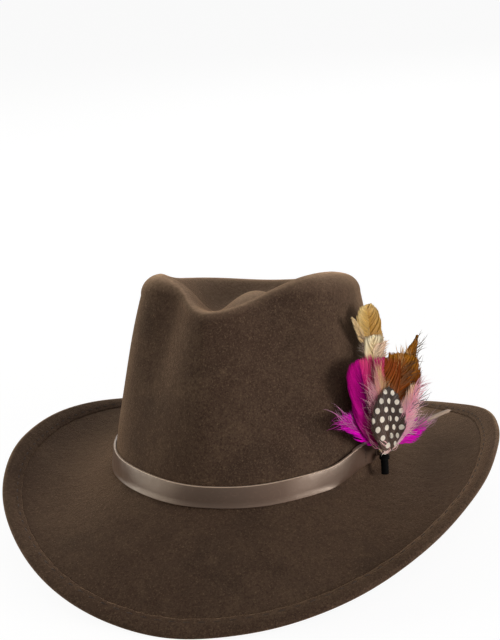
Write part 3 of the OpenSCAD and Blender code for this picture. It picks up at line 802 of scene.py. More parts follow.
def tape_material(name, tone):
    """Waxed cloth tape: a fine weave, rubbed paler on its high places."""
    g = Graph(name, tone)
    split = g.add("ShaderNodeSeparateXYZ", Vector=g.position)
    warp = g.wave(split.outputs[2], TAPE_THREAD)
    rub = g.noise(420, 4, 0.65)
    color = g.blend(g.span(rub, 0.5, 0.72, 0, 0.6), tone, toned(tone, 2.0))
    height = g.math("ADD", g.times(warp, 0.4), rub)
    return g.finish(Base_Color=color, Roughness=g.span(rub, 0.3, 0.7, 0.5, 0.7),
                    Normal=g.bump(height, 0.00012, 0.6), Specular_IOR_Level=0.06)


def cloth_material(name, tone, pitch):
    """Woven cloth: warp and weft threads of one pitch."""
    g = Graph(name, tone)
    weave = g.weave()
    warp, weft = g.wave(weave[0], pitch), g.wave(weave[1], pitch)
    over = g.times(warp, weft)
    height = g.math("ADD", g.math("ABSOLUTE", warp), g.math("ABSOLUTE", weft))
    fuzz = g.noise(1800, 3, 0.7)
    color = g.blend(g.span(over, -0.6, 0.6), toned(tone, 0.8), tone)
    color = g.blend(g.span(fuzz, 0.5, 0.8, 0, 0.35), color, toned(tone, 1.25))
    return g.finish(Base_Color=color, Roughness=g.span(fuzz, 0.3, 0.7, 0.75, 0.95),
                    Normal=g.bump(height, 0.00006, 0.6), Specular_IOR_Level=0.2, Sheen_Weight=0.25)


def ribbon_material(name, tone, rib):
    """Ribbed ribbon, with its ribs across its length."""
    g = Graph(name, tone)
    ribs = g.wave(g.weave()[0], rib)
    fuzz = g.noise(1500, 3, 0.7)
    # painted shade: the grooves between the ribs are darker
    color = g.blend(g.span(ribs, -0.8, 0.4), toned(tone, 0.45), tone)
    color = g.blend(g.span(fuzz, 0.5, 0.8, 0, 0.3), color, toned(tone, 1.5, 0.01))
    return g.finish(Base_Color=color, Roughness=g.span(fuzz, 0.3, 0.7, 0.45, 0.65),
                    Normal=g.bump(ribs, 0.00012, 0.8), Specular_IOR_Level=0.4, Sheen_Weight=0.3)


# ---------------------------------------------------------------- hat band

LAYER = BAND_T + GAP
LAP_END = TRIM_ANGLE + LAP_PAST + 360
LAP_ANGLE = math.degrees(LAP_L / float(break_r_at(np.array(float(TRIM_ANGLE)))))


def band_base(t):
    """The height of the band's lower edge, which climbs towards the trim and falls again behind it."""
    t = np.asarray(t, float) % 360
    risen = ease((t - CLIMB_FROM) / CLIMB_RUN) * (1 - ease((t - FALL_FROM) / FALL_RUN))
    return BAND_BASE + BAND_CLIMB * risen


def lap_lift(t):
    return LAYER * ease((t - LAP_END + LAP_ANGLE + LAP_RISE + 1) / LAP_RISE)


def on_wall(t, out, h):
    t, out, h = np.broadcast_arrays(np.asarray(t, float), out, h)
    return wall_at(t, h) + wall_normal(t, h) * (GAP + out)[..., None]


# painted light round the band: angles from the front, and at each a share, painted paler as a highlight over
# a half and darker as shade under a half
BAND_PAINTED_LIGHT = ((-120, 0.5), (-50, 0.7), (-30, 0.58), (-15, 0.4), (-1, 0.25), (10, 0.34), (20, 0.62),
               (30, 0.8), (42, 0.65), (54, 0.5), (66, 0.72), (80, 0.65), (120, 0.5))


def strap_section():
    """The leather band's section as (out, up): rounded corners and a slightly full face."""
    mid = BAND_T - BAND_ROUND
    low = [(mid + BAND_ROUND * cosd(a), BAND_ROUND + BAND_ROUND * sind(a)) for a in np.linspace(-90, 0, 5)]
    face = [(BAND_T + BAND_FACE * math.sin(math.pi * y / BAND_H), y)
            for y in np.linspace(BAND_ROUND, BAND_H - BAND_ROUND, 8)[1:-1]]
    high = [(x, BAND_H - y) for x, y in low[::-1]]
    back = [(0.12, BAND_H), (0, BAND_H - 0.12), (0, BAND_H / 2), (0, 0.12), (0.12, 0)]
    return np.array(low + face + high + back)


def make_hat_band(material):
    """The band, with its ends cut a little narrower and its foot flared over the brim's bend."""
    section = strap_section()
    out, up = section.T
    t = np.linspace(LAP_END - 360 - LAP_ANGLE, LAP_END, 385)
    rings = []
    for i, at in enumerate(t):
        from_end = min(i, len(t) - 1 - i)
        narrower = 1 - 0.06 * max(0, 3 - from_end) / 3
        h = band_base(at) + BAND_H / 2 + (up - BAND_H / 2) * narrower
        h = h + waver(at, (0.12, 3, 20), (0.08, 7, 0))
        flare = np.maximum(np.maximum(BREAK_R - h, 0) ** 2 / (2 * BREAK_R) - 0.15, 0)
        rings.append(on_wall(at, out + lap_lift(at) + flare, h))
    band = swept("hat_band_leather", rings, material)
    # a painted highlight along the band's top edge, full over the front and sides and fading to a fifth past
    # 82 degrees from the front
    lit_top_edge = (up > BAND_H - 0.45) & (out > 0.1)
    highlight_share = 1 - 0.8 * ease((from_front(t) - 66) / 16)
    set_attribute(band.data, "edge", "FLOAT", np.outer(highlight_share, lit_top_edge))
    # painted light round the band: paler as highlights where the lamps reflect, darker as shade at the front
    painted_light = np.interp((t + 180) % 360 - 180, *zip(*BAND_PAINTED_LIGHT))
    set_attribute(band.data, "painted_light", "FLOAT", np.outer(painted_light, np.ones(len(section))))
    return finish_piece(band, "hat_band")


def make_lap_stitches(material):
    t = LAP_END - LAP_STITCH_IN
    h = band_base(t) + LAP_STITCH_FIRST + LAP_STITCH_PITCH * np.arange(LAP_STITCHES)
    centres = on_wall(t, LAYER + BAND_T + 0.1, h)
    runs = on_wall(t, LAYER, h + 1) - on_wall(t, LAYER, h)
    return stitch_row("band_lap_stitches", "band_thread", "hat_band_stitches", centres, runs,
                      wall_normal(t, h), LAP_STITCH, material)


# ---------------------------------------------------------------- sweatband, bow, tag and rows of stitches

def inside(t, x, h):
    """A point x in from the felt's inner face and h above the break."""
    t, x, h = np.broadcast_arrays(np.asarray(t, float), x, h)
    return wall_at(t, h) - wall_normal(t, np.maximum(h, BREAK_R)) * (FELT_T + GAP + x)[..., None]


def make_sweatband(material):
    r = SWEAT_T / 2 - 0.05
    out = [(r + r * math.cos(a), SWEAT_BASE + r - r * math.sin(a)) for a in np.linspace(0, math.pi, 7)]
    left = [(0.1, SWEAT_BASE + h) for h in np.linspace(2, SWEAT_H - 1, 12)]
    top = [(0.1 + 0.4 * (1 - math.cos(a)), SWEAT_BASE + SWEAT_H - 0.4 + 0.4 * math.sin(a))
           for a in np.linspace(0, math.pi, 5)]
    right = [(SWEAT_T, SWEAT_BASE + h) for h in np.linspace(SWEAT_H - 1, 2, 12)]
    section = np.array(out + left + top + right)
    rise = np.clip((section[:, 1] - SWEAT_BASE) / SWEAT_H, 0, 1)
    rings = []
    for t in np.linspace(*HEAD_TURN, 289):
        ripple = rise ** 2 * waver(t, (0.16, 11, 0), (0.12, 17, 50))
        rings.append(inside(t, section[:, 0] + ripple + 0.15 * rise, section[:, 1]))
    return finish_piece(swept("sweatband_leather", rings, material), "sweatband")


def make_reed(material):
    a = np.linspace(0, 2 * math.pi, 12, endpoint=False)
    out, up = SWEAT_T / 2 + REED_D / 2 * np.cos(a), SWEAT_BASE - REED_D / 2 - 0.1 + REED_D / 2 * np.sin(a)
    rings = [inside(t, out, up) for t in np.linspace(*HEAD_TURN, 217)]
    return finish_piece(swept("sweatband_reed_cord", rings, material), "sweatband_reed")


def make_sweat_stitches(material):
    t = (np.arange(SWEAT_STITCHES) + 0.5) * 360 / SWEAT_STITCHES
    h = SWEAT_STITCH_UP
    centres = inside(t, SWEAT_T + 0.05, h)
    runs = inside(t + 0.5, SWEAT_T, h) - inside(t - 0.5, SWEAT_T, h)
    return stitch_row("sweatband_thread", "tan_thread", "sweatband_stitching", centres, runs,
                      -wall_normal(t, max(h, BREAK_R)), SWEAT_STITCH, material)


def make_fold_stitches(material):
    t = np.arange(FOLD_STITCHES) * 360 / FOLD_STITCHES
    d = FOLD_W - STITCH_IN
    centres = edge_point(t, d, FOLD_TOP - 0.8)
    normals = unit(edge_point(t, d, 3) - edge_point(t, d, 2))
    runs = edge_point(t + 0.5, d, 0) - edge_point(t - 0.5, d, 0)
    return stitch_row("fold_thread", "felt_thread", "fold_stitching", centres, runs, normals, FOLD_STITCH,
                      material)


def weave_map(obj, coordinates):
    """An own UV map, in metres, from one coordinate pair for each point."""
    layer = obj.data.uv_layers.new(name="weave")
    index = np.zeros(len(obj.data.loops), np.int32)
    obj.data.loops.foreach_get("vertex_index", index)
    layer.data.foreach_set("uv", np.asarray(coordinates, np.float32)[index].ravel())


def ribbon(path, widths):
    """A ribbon's rings: a flat upright band of the given widths along a path, and its weave coordinates."""
    run = unit(np.gradient(path, axis=0))
    across = unit(np.array([0, 0, 1]) - run * run[:, 2:])
    normal = np.cross(run, across)
    length = np.concatenate([[0], np.cumsum(np.linalg.norm(np.diff(path, axis=0), axis=-1))])
    lanes = np.linspace(-1, 1, 7)
    rings, weave = [], []
    for p, c, n, w, s in zip(path, across, normal, widths, length):
        cup = 0.06 * w * (1 - lanes ** 2)
        top = [p + c * (w / 2 * k) + n * (u + RIBBON_T / 2) for k, u in zip(lanes, cup)]
        low = [p + c * (w / 2 * k) + n * (u - RIBBON_T / 2) for k, u in zip(lanes[::-1], cup[::-1])]
        rings.append(top + low)
        weave += [(s * MM, w / 2 * k * MM) for k in (*lanes, *lanes[::-1])]
    return np.array(rings), weave


def make_bow(material):
    """The small flat bow over the sweatband's joint: two pressed loops and a knot."""
    seat = inside(np.array(180.0), SWEAT_T + GAP, SWEAT_BASE + BOW_BASE + BOW_H / 2)
    sag = BOW_W ** 2 / 8 / (CROWN_B ** 2 / CROWN_A) + GAP
    base = seat - [0, sag, 0]
    parts = []
    for side in (-1, 1):
        a = np.linspace(0, 2 * math.pi, 29)
        reach = (1 - np.cos(a)) / 2 * (BOW_W / 2 - RIBBON_T)
        depth = BOW_OUT + BOW_DEPTH * np.sin(a) * (0.25 + 0.75 * np.sin(a / 2) ** 2)
        path = np.stack([side * reach, -depth, 0.25 * np.sin(a) * side], -1)
        widths = BOW_WAIST + (BOW_H - BOW_WAIST) * ease(reach / (BOW_W / 2))
        parts.append(ribbon(path[1:-1], widths[1:-1]))
    a = np.linspace(0, 2 * math.pi, 25)
    knot = np.stack([KNOT_REACH * np.cos(a), KNOT_DEPTH * np.sin(a) - KNOT_OUT, 0 * a], -1)
    parts.append(ribbon(knot[:-1], np.full(24, KNOT_W)))
    objects = []
    for i, (rings, weave) in enumerate(parts):
        objects.append(swept("bow_%d" % i, rings + base, material))
        weave_map(objects[-1], weave)
    return finish_piece(joined("sweatband_bow_ribbon", *objects), "sweatband_bow")


def make_tag(material, thread):
    """The small blank cloth tag, folded under at its ends and caught by a stitch at each corner."""
    half = math.degrees(math.asin(TAG_W / 2 / CROWN_A))
    n, m = 33, 17
    t = np.linspace(TAG_ANGLE - half, TAG_ANGLE + half, n)
    h = np.linspace(TAG_BASE, TAG_BASE + TAG_H, m)
    u, v = np.linspace(-1, 1, n)[:, None], np.linspace(-1, 1, m)[None, :]
    hem = 0.12 * (np.abs(u) > 0.86)
    lift = 0.25 * (1 - np.abs(u) ** 6) * (0.4 + 0.6 * np.abs(v)) + 0.05 * np.sin(u * 9 + v * 4)
    rings, weave = [], []
    for i in range(n):
        near = SWEAT_T + GAP + lift[i] * 0.5
        face = near + TAG_T + hem[i]
        front = inside(t[i], face, h)
        back = inside(t[i], near, h)[::-1]
        rings.append(np.concatenate([front, back]))
        weave += [(u[i, 0] * TAG_W / 2 * MM, k * TAG_H / 2 * MM) for k in (*v[0], *v[0, ::-1])]
    tag = swept("size_tag_cloth", rings, material)
    weave_map(tag, weave)
    t = TAG_ANGLE + np.array([-1, -1, 1, 1]) * (half - TAG_CORNER_IN)
    h = TAG_BASE + TAG_H / 2 + np.array([-1, 1, -1, 1]) * (TAG_H / 2 - TAG_CORNER_UP)
    centres = inside(t, SWEAT_T + GAP + TAG_T * 1.5, h)
    runs = inside(t, SWEAT_T, h + 1) - inside(t, SWEAT_T, h)
    stitches = stitch_mesh("tag_corner_stitches", centres, runs, -wall_normal(t, h), TAG_STITCH, thread)
    tag = joined("size_tag_cloth", tag, stitches)
    return finish_piece(tag, "size_tag")


# ---------------------------------------------------------------- feather trim

# the trim's own sizes: an upright sheet on which the feathers lie, their barbs, the clip, the stem and its
# wrap, and the guinea feather's dots
SHEET_OUT, SHEET_LEAN, SHEET_FRONT_R, SHEET_BACK_R, SHEET_TURN = LAYER + BAND_T + 2 * GAP, 0.12, 110, 26, 28
SHEET_STEPS = np.linspace(-60, 75, 541)   # places along the sheet at which it is searched
FEATHER_T, FEATHER_PITCH = 0.6, 0.85
BARB_T, BARB_SWAY, BARB_BOW = 0.16, 0.25, 0.13
STEM_N = FEATHER_PITCH * 13 / 2 + 1
TRIM_ROOT = float(break_r_at(np.array(float(TRIM_ANGLE)))) + SHEET_OUT
TRIM_HEADING = math.degrees(math.atan2(CROWN_A ** 2 * sind(TRIM_ANGLE), CROWN_B ** 2 * cosd(TRIM_ANGLE)))
TURN_L = SHEET_BACK_R * math.radians(SHEET_TURN)
CLIP_W, CLIP_H, CLIP_T, CLIP_ROUND, CLIP_EDGE = 6, 9, 0.8, 1.2, 0.15
CLIP_PAST, CLIP_FOOT, CLIP_OUT = 2, 2, LAYER + BAND_T + 0.35
CLIP_ARM_W, CLIP_ARM_T, CLIP_ARM_UP, CLIP_ARM_SHORT, CLIP_ARM_SQUARE = 3, 2, CLIP_H * 0.22, 0.68, 0.4
STEM_RISE, STEM_SHIFT, STEM_END, TAPE_PITCH, TAPE_T = 3.2, -1.2, 0.35, 2.6, 0.2
WRAP_H, WRAP_DROP, WRAP_TURNS, WRAP_THREAD = 3, 1, 5, 0.33
DOT_ROW, DOT_COLUMN, DOT_W, DOT_H, DOT_SPREAD = 5.4, 8.8, 4.7, 3.6, 0.8
ROOT_OVERLAP = 0.4


def heading(a):
    turned = np.where(a < 0, a / SHEET_FRONT_R, -np.minimum(a, TURN_L) / SHEET_BACK_R)
    return TRIM_HEADING + np.degrees(turned)


def sheet_plan(a):
    h0, h1 = np.radians(TRIM_HEADING), np.radians(heading(a))
    r = np.where(a < 0, SHEET_FRONT_R, -SHEET_BACK_R)
    beyond = np.maximum(a - TURN_L, 0)
    return (r * (np.sin(h1) - np.sin(h0)) + beyond * np.cos(h1),
            r * (np.cos(h0) - np.cos(h1)) + beyond * np.sin(h1))


def stem_base():
    at = np.array(float(TRIM_ANGLE))
    return float(brim(at, (SHEET_OUT + STEM_N) / brim_run(at))[2]) + STEM_FOOT


STEM_BASE = stem_base()
STEM_TOP = STEM_BASE + STEM_L


def on_sheet(a, b, n):
    """A place on the trim's sheet: a towards the back, b above the stem's top and n out from the felt."""
    a, b, n = np.broadcast_arrays(np.asarray(a, float), b, n)
    x, y = sheet_plan(a)
    root = polar(TRIM_ROOT, TRIM_ANGLE, 0)
    h = np.radians(heading(a))
    out = n - SHEET_LEAN * b
    return vec(root[0] + x + out * np.sin(h), root[1] + y - out * np.cos(h), STEM_TOP + b)


def plume_material(name, tone, sheen=0.12, rough=0.5, dark_streaks=0.3, pale_patches=0.1, shine=0.25, dots=False):
    """Feather barbs: each carries a tone at its root and its tip, with fine streaks along it."""
    g = Graph(name, tone)
    along = g.value("along")
    low, high = g.vector("tone_root"), g.vector("tone_tip")
    color = g.blend(g.span(along, 0.12, 0.85), low, high)
    streak = g.noise(1400, 3, 0.65)
    broad = g.noise(160, 3, 0.6)
    color = g.blend(g.span(streak, 0.35, 0.6, dark_streaks, 0), color, (0.35, 0.33, 0.33), "MULTIPLY")
    # painted sheen: pale patches screened over the barbs' tones
    color = g.blend(g.span(broad, 0.5, 0.75, 0, pale_patches), color, (0.55, 0.5, 0.48), "SCREEN")
    if dots:
        mark = g.add("ShaderNodeSeparateXYZ", Vector=g.vector("mark")).outputs
        up = g.math("DIVIDE", mark[0], DOT_ROW)
        row = g.math("ROUND", up)
        stagger = g.times(g.math("MODULO", g.math("ABSOLUTE", row), 2.0), 0.5)
        side = g.math("ADD", g.math("DIVIDE", mark[1], DOT_COLUMN), stagger)
        du = g.math("DIVIDE", g.math("SUBTRACT", up, row), DOT_H / 2 / DOT_ROW)
        ds = g.math("DIVIDE", g.math("SUBTRACT", side, g.math("ROUND", side)), DOT_W / 2 / DOT_COLUMN)
        far = g.math("SQRT", g.math("ADD", g.math("POWER", du, 2.0), g.math("POWER", ds, 2.0)))
        far = g.math("ADD", far, g.times(g.math("SUBTRACT", broad, 0.5), 0.5))
        color = g.blend(g.span(far, 0.86, 1.05, 1, 0), color, srgb(240, 232, 216))
    return g.finish(Base_Color=color, Roughness=g.span(streak, 0.3, 0.7, rough - 0.08, rough + 0.12),
                    Normal=g.bump(streak, 0.00005, 0.4), Specular_IOR_Level=shine,
                    Sheen_Weight=sheen, Sheen_Roughness=0.4)


def sheet_place(points):
    """The sheet's a and b for points of a feather, as they lie in the frame."""
    p = tipped(np.asarray(points, float) / MM - SHIFT, -PITCH)
    p = p - hand(p)
    line = on_sheet(SHEET_STEPS, 0, STEM_N)[:, :2]
    turn = np.radians(heading(SHEET_STEPS))
    way = np.stack([np.cos(turn), np.sin(turn)], -1)
    off = np.abs(((p[:, None, :2] - line[None]) * way[None]).sum(-1))
    return np.stack([SHEET_STEPS[off.argmin(1)], p[:, 2] - STEM_TOP], -1)


def curve_at(points, u):
    """A smooth curve of three points in the sheet: its place and its direction at u."""
    p0, p1, p2 = (np.asarray(p, float) for p in points)
    u = np.asarray(u, float)[..., None]
    place = (1 - u) ** 2 * p0 + 2 * u * (1 - u) * p1 + u ** 2 * p2
    run = 2 * (1 - u) * (p1 - p0) + 2 * u * (p2 - p1)
    return place, run / np.linalg.norm(run, axis=-1, keepdims=True)


def tone_at(stops, u):
    """A tone between (u, (r, g, b)) stops, given as it looks."""
    us = [s[0] for s in stops]
    values = np.array([srgb(*s[1]) for s in stops])
    return np.stack([np.interp(u, us, values[:, k]) for k in range(3)], -1)


def right_of(way):
    """The direction in the sheet to the right of each way along it."""
    return np.stack([way[:, 1], -way[:, 0]], -1)


def add_barbs(rows, places, heights, tones, breadth):
    """Adds barbs by the places of their roots, middles and tips in the sheet, and their heights over it."""
    for key, place, height in zip(("root", "middle", "tip"), places, heights):
        rows[key].append(on_sheet(place[:, 0], place[:, 1], height))
    rows["tone_root"].append(tones[0])
    rows["tone_tip"].append(tones[1])
    rows["breadth"].append(breadth)


def add_wisps(rows, rng, spine, n0, lift, count, place, reach, fan, tone, breadth, over):
    """Free barbs: how many, where along the shaft they start, how far and at which angles they reach, their
    tones at root and tip, their breadth, and how far over (or, below 0, under) the feather they lie."""
    u = rng.uniform(*place, count)
    root, run = curve_at(spine, u)
    a = np.radians(rng.uniform(*fan, count))[:, None]
    way = run * np.cos(a) + right_of(run) * np.sin(a)
    far = rng.uniform(*reach, count)
    tip = root + way * far[:, None]
    middle = (root + tip) / 2 + right_of(way) * (rng.normal(size=count) * 0.12 * far)[:, None]
    n_tip = n0 + over + np.abs(rng.normal(size=count)) * lift * 2 * np.sign(over) + 0.03 * far
    dim = (1 + 0.15 * rng.normal(size=count))[:, None]
    add_barbs(rows, (root, middle, tip), (n0 + 0.6 * over, (n0 + 0.9 * over + n_tip) / 2, n_tip),
              [np.array([srgb(*end)] * count) * dim for end in tone], np.full(count, breadth))


def make_shaft(name, material, spine, n0, thickness, taper, quill):
    u = np.linspace(0, 1, 30)
    line = curve_at(spine, u)[0]
    radius = (thickness * (1 - u) ** taper + 0.09) * np.sqrt(np.clip((1.004 - u) / 0.03, 0, 1))
    shaft = swept(name, tube(on_sheet(line[:, 0], line[:, 1], n0 + 0.22), radius, 9), material)
    count = len(shaft.data.vertices)
    for key in ("tone_root", "tone_tip"):
        set_attribute(shaft.data, key, "FLOAT_VECTOR", np.array([srgb(*quill)] * count))
    return shaft


def plume(name, node, material, layer, spine, left, right, low, high, quill, shaft, pitch, breadth,
          lean, seed, start=0.1, roots=None, ragged=0.08, split=0.12, cap=0.25, cup=0.4, lift=0.25,
          fullness=5.0, shade=0.1, right_tones=None, taper=0.8, wisps=(), dots=None):
    """One feather: a shaft along the spine, and a row of barbs to each side, out to the outline there.

    left and right are half widths at even steps from start to the tip, and roots is where the first barb
    leaves the shaft. Barbs lean at an angle from the shaft, and the tones run along the feather at each
    barb's root (low) and tip (high); right_tones holds the right side's own. ragged and split say how uneven
    the outline is, cap how far barbs close its end, and shade how much their tones differ. Wisps are rows
    for add_wisps, and dots is the line that the rows of dots follow."""
    rng = np.random.default_rng(seed)
    line = curve_at(spine, np.linspace(0, 1, 60))[0]
    length = np.linalg.norm(np.diff(line, axis=0), axis=1).sum()
    n0 = FEATHER_PITCH * (layer + 0.5) + FEATHER_T / 2
    first = start * 0.35 if roots is None else roots
    rows = {k: [] for k in ("root", "middle", "tip", "tone_root", "tone_tip", "breadth")}
    for side, half in ((-1, left), (1, right)):
        tones = right_tones if right_tones and side == 1 else (low, high)
        half = np.asarray(half, float)
        count = int(length * (1 - start) / pitch)
        count_cap = int(cap * half[-1] / pitch) + 2
        v = np.concatenate([np.linspace(0, 1, count), 1 + np.linspace(0, 1, count_cap + 1)[1:]])
        v = v + rng.normal(size=len(v)) * 0.15 / count
        clump = np.interp(v, np.linspace(-0.05, 2.05, 40), rng.normal(size=40))
        u_end = start + (1 - start) * np.clip(v, 0, 1)
        wide = np.interp(np.clip(v, 0, 1), np.linspace(0, 1, len(half)), half)
        wide *= 1 - np.clip(v - 1, 0, 1) * 0.97
        wide *= 1 + ragged * rng.normal(size=len(v)) + split * 0.5 * clump
        wide = np.maximum(wide, 0.25)
        back = wide / math.tan(math.radians(lean)) / length
        u_root = np.clip(u_end - back, first + 0.03 * rng.random(len(v)), 0.985)
        end, run = curve_at(spine, u_end)
        root, way = curve_at(spine, u_root)
        root = root - right_of(way) * side * ROOT_OVERLAP
        across = right_of(run) * side
        tip = end + across * wide[:, None] + run * (rng.normal(size=len(v)) * ragged * 4)[:, None]
        chord = np.linalg.norm(tip - root, axis=1)
        middle = (root + tip) / 2 + across * (BARB_BOW * chord)[:, None]
        n_tip = n0 + lift * rng.normal(size=len(v)) * 0.6 + cup * (wide / 10) ** 2
        n_root = n0 + rng.normal(size=len(v)) * 0.06
        dim = (1 + shade * rng.normal(size=len(v)) + 0.06 * clump)[:, None]
        add_barbs(rows, (root, middle, tip), (n_root, (n_root + n_tip) / 2 + 0.25, n_tip),
                  (tone_at(tones[0], u_root) * dim, tone_at(tones[1], u_end) * dim),
                  breadth * (1 + 0.15 * rng.normal(size=len(v))))
    for wisp in wisps:
        add_wisps(rows, rng, spine, n0, lift, *wisp)
    data = {k: np.concatenate(v) for k, v in rows.items()}
    data["face"] = sheet_normals(data["root"])
    for key in ("root", "middle", "tip"):
        data[key] = resting(data[key])
    data["breadth"] = np.abs(data["breadth"]) * MM
    data["tone_root"] = np.clip(data["tone_root"], 0, 1)
    data["tone_tip"] = np.clip(data["tone_tip"], 0, 1)
    barbs = lay_strands(name + "_barbs", data, material, BARB_T * MM, fullness=fullness, sway=BARB_SWAY * MM,
                        seed=seed)
    stalk = make_shaft(name + "_shaft", material, spine, n0, shaft, taper, quill)
    if dots:
        mark_dots(barbs.data, dots)
        between = [(DOT_ROW / 2, DOT_COLUMN / 4, 0)] * len(stalk.data.vertices)
        set_attribute(stalk.data, "mark", "FLOAT_VECTOR", between)
    return finish_piece(joined(name, barbs, stalk), node)


def mark_dots(mesh, spine):
    """Each point's way along the shaft and out from it, which the dots follow."""
    place = np.empty(len(mesh.vertices) * 3, np.float32)
    mesh.vertices.foreach_get("co", place)
    place = sheet_place(place.reshape(-1, 3))
    line, run = curve_at(spine, np.linspace(0, 1, 161))
    gone = np.concatenate([[0], np.cumsum(np.linalg.norm(np.diff(line, axis=0), axis=1))])
    off = place[:, None] - line[None]
    near = (off ** 2).sum(-1).argmin(1)
    away = off[np.arange(len(near)), near]
    out = away[:, 0] * run[near, 1] - away[:, 1] * run[near, 0]
    along = gone[near] + away[:, 0] * run[near, 0] + away[:, 1] * run[near, 1]
    out = np.where(out < 0, out * DOT_SPREAD, out)
    set_attribute(mesh, "mark", "FLOAT_VECTOR", np.stack([along, out, out * 0], -1))


def sheet_normals(places):
    """The sheet's outward direction at each place, which turns with the sheet towards the back."""
    root = polar(TRIM_ROOT, TRIM_ANGLE, 0)
    h = math.radians(TRIM_HEADING)
    along = (places[:, 0] - root[0]) * math.cos(h) + (places[:, 1] - root[1]) * math.sin(h)
    turn = np.radians(heading(along))
    return unit(tipped(vec(np.sin(turn), -np.cos(turn), SHEET_LEAN)))


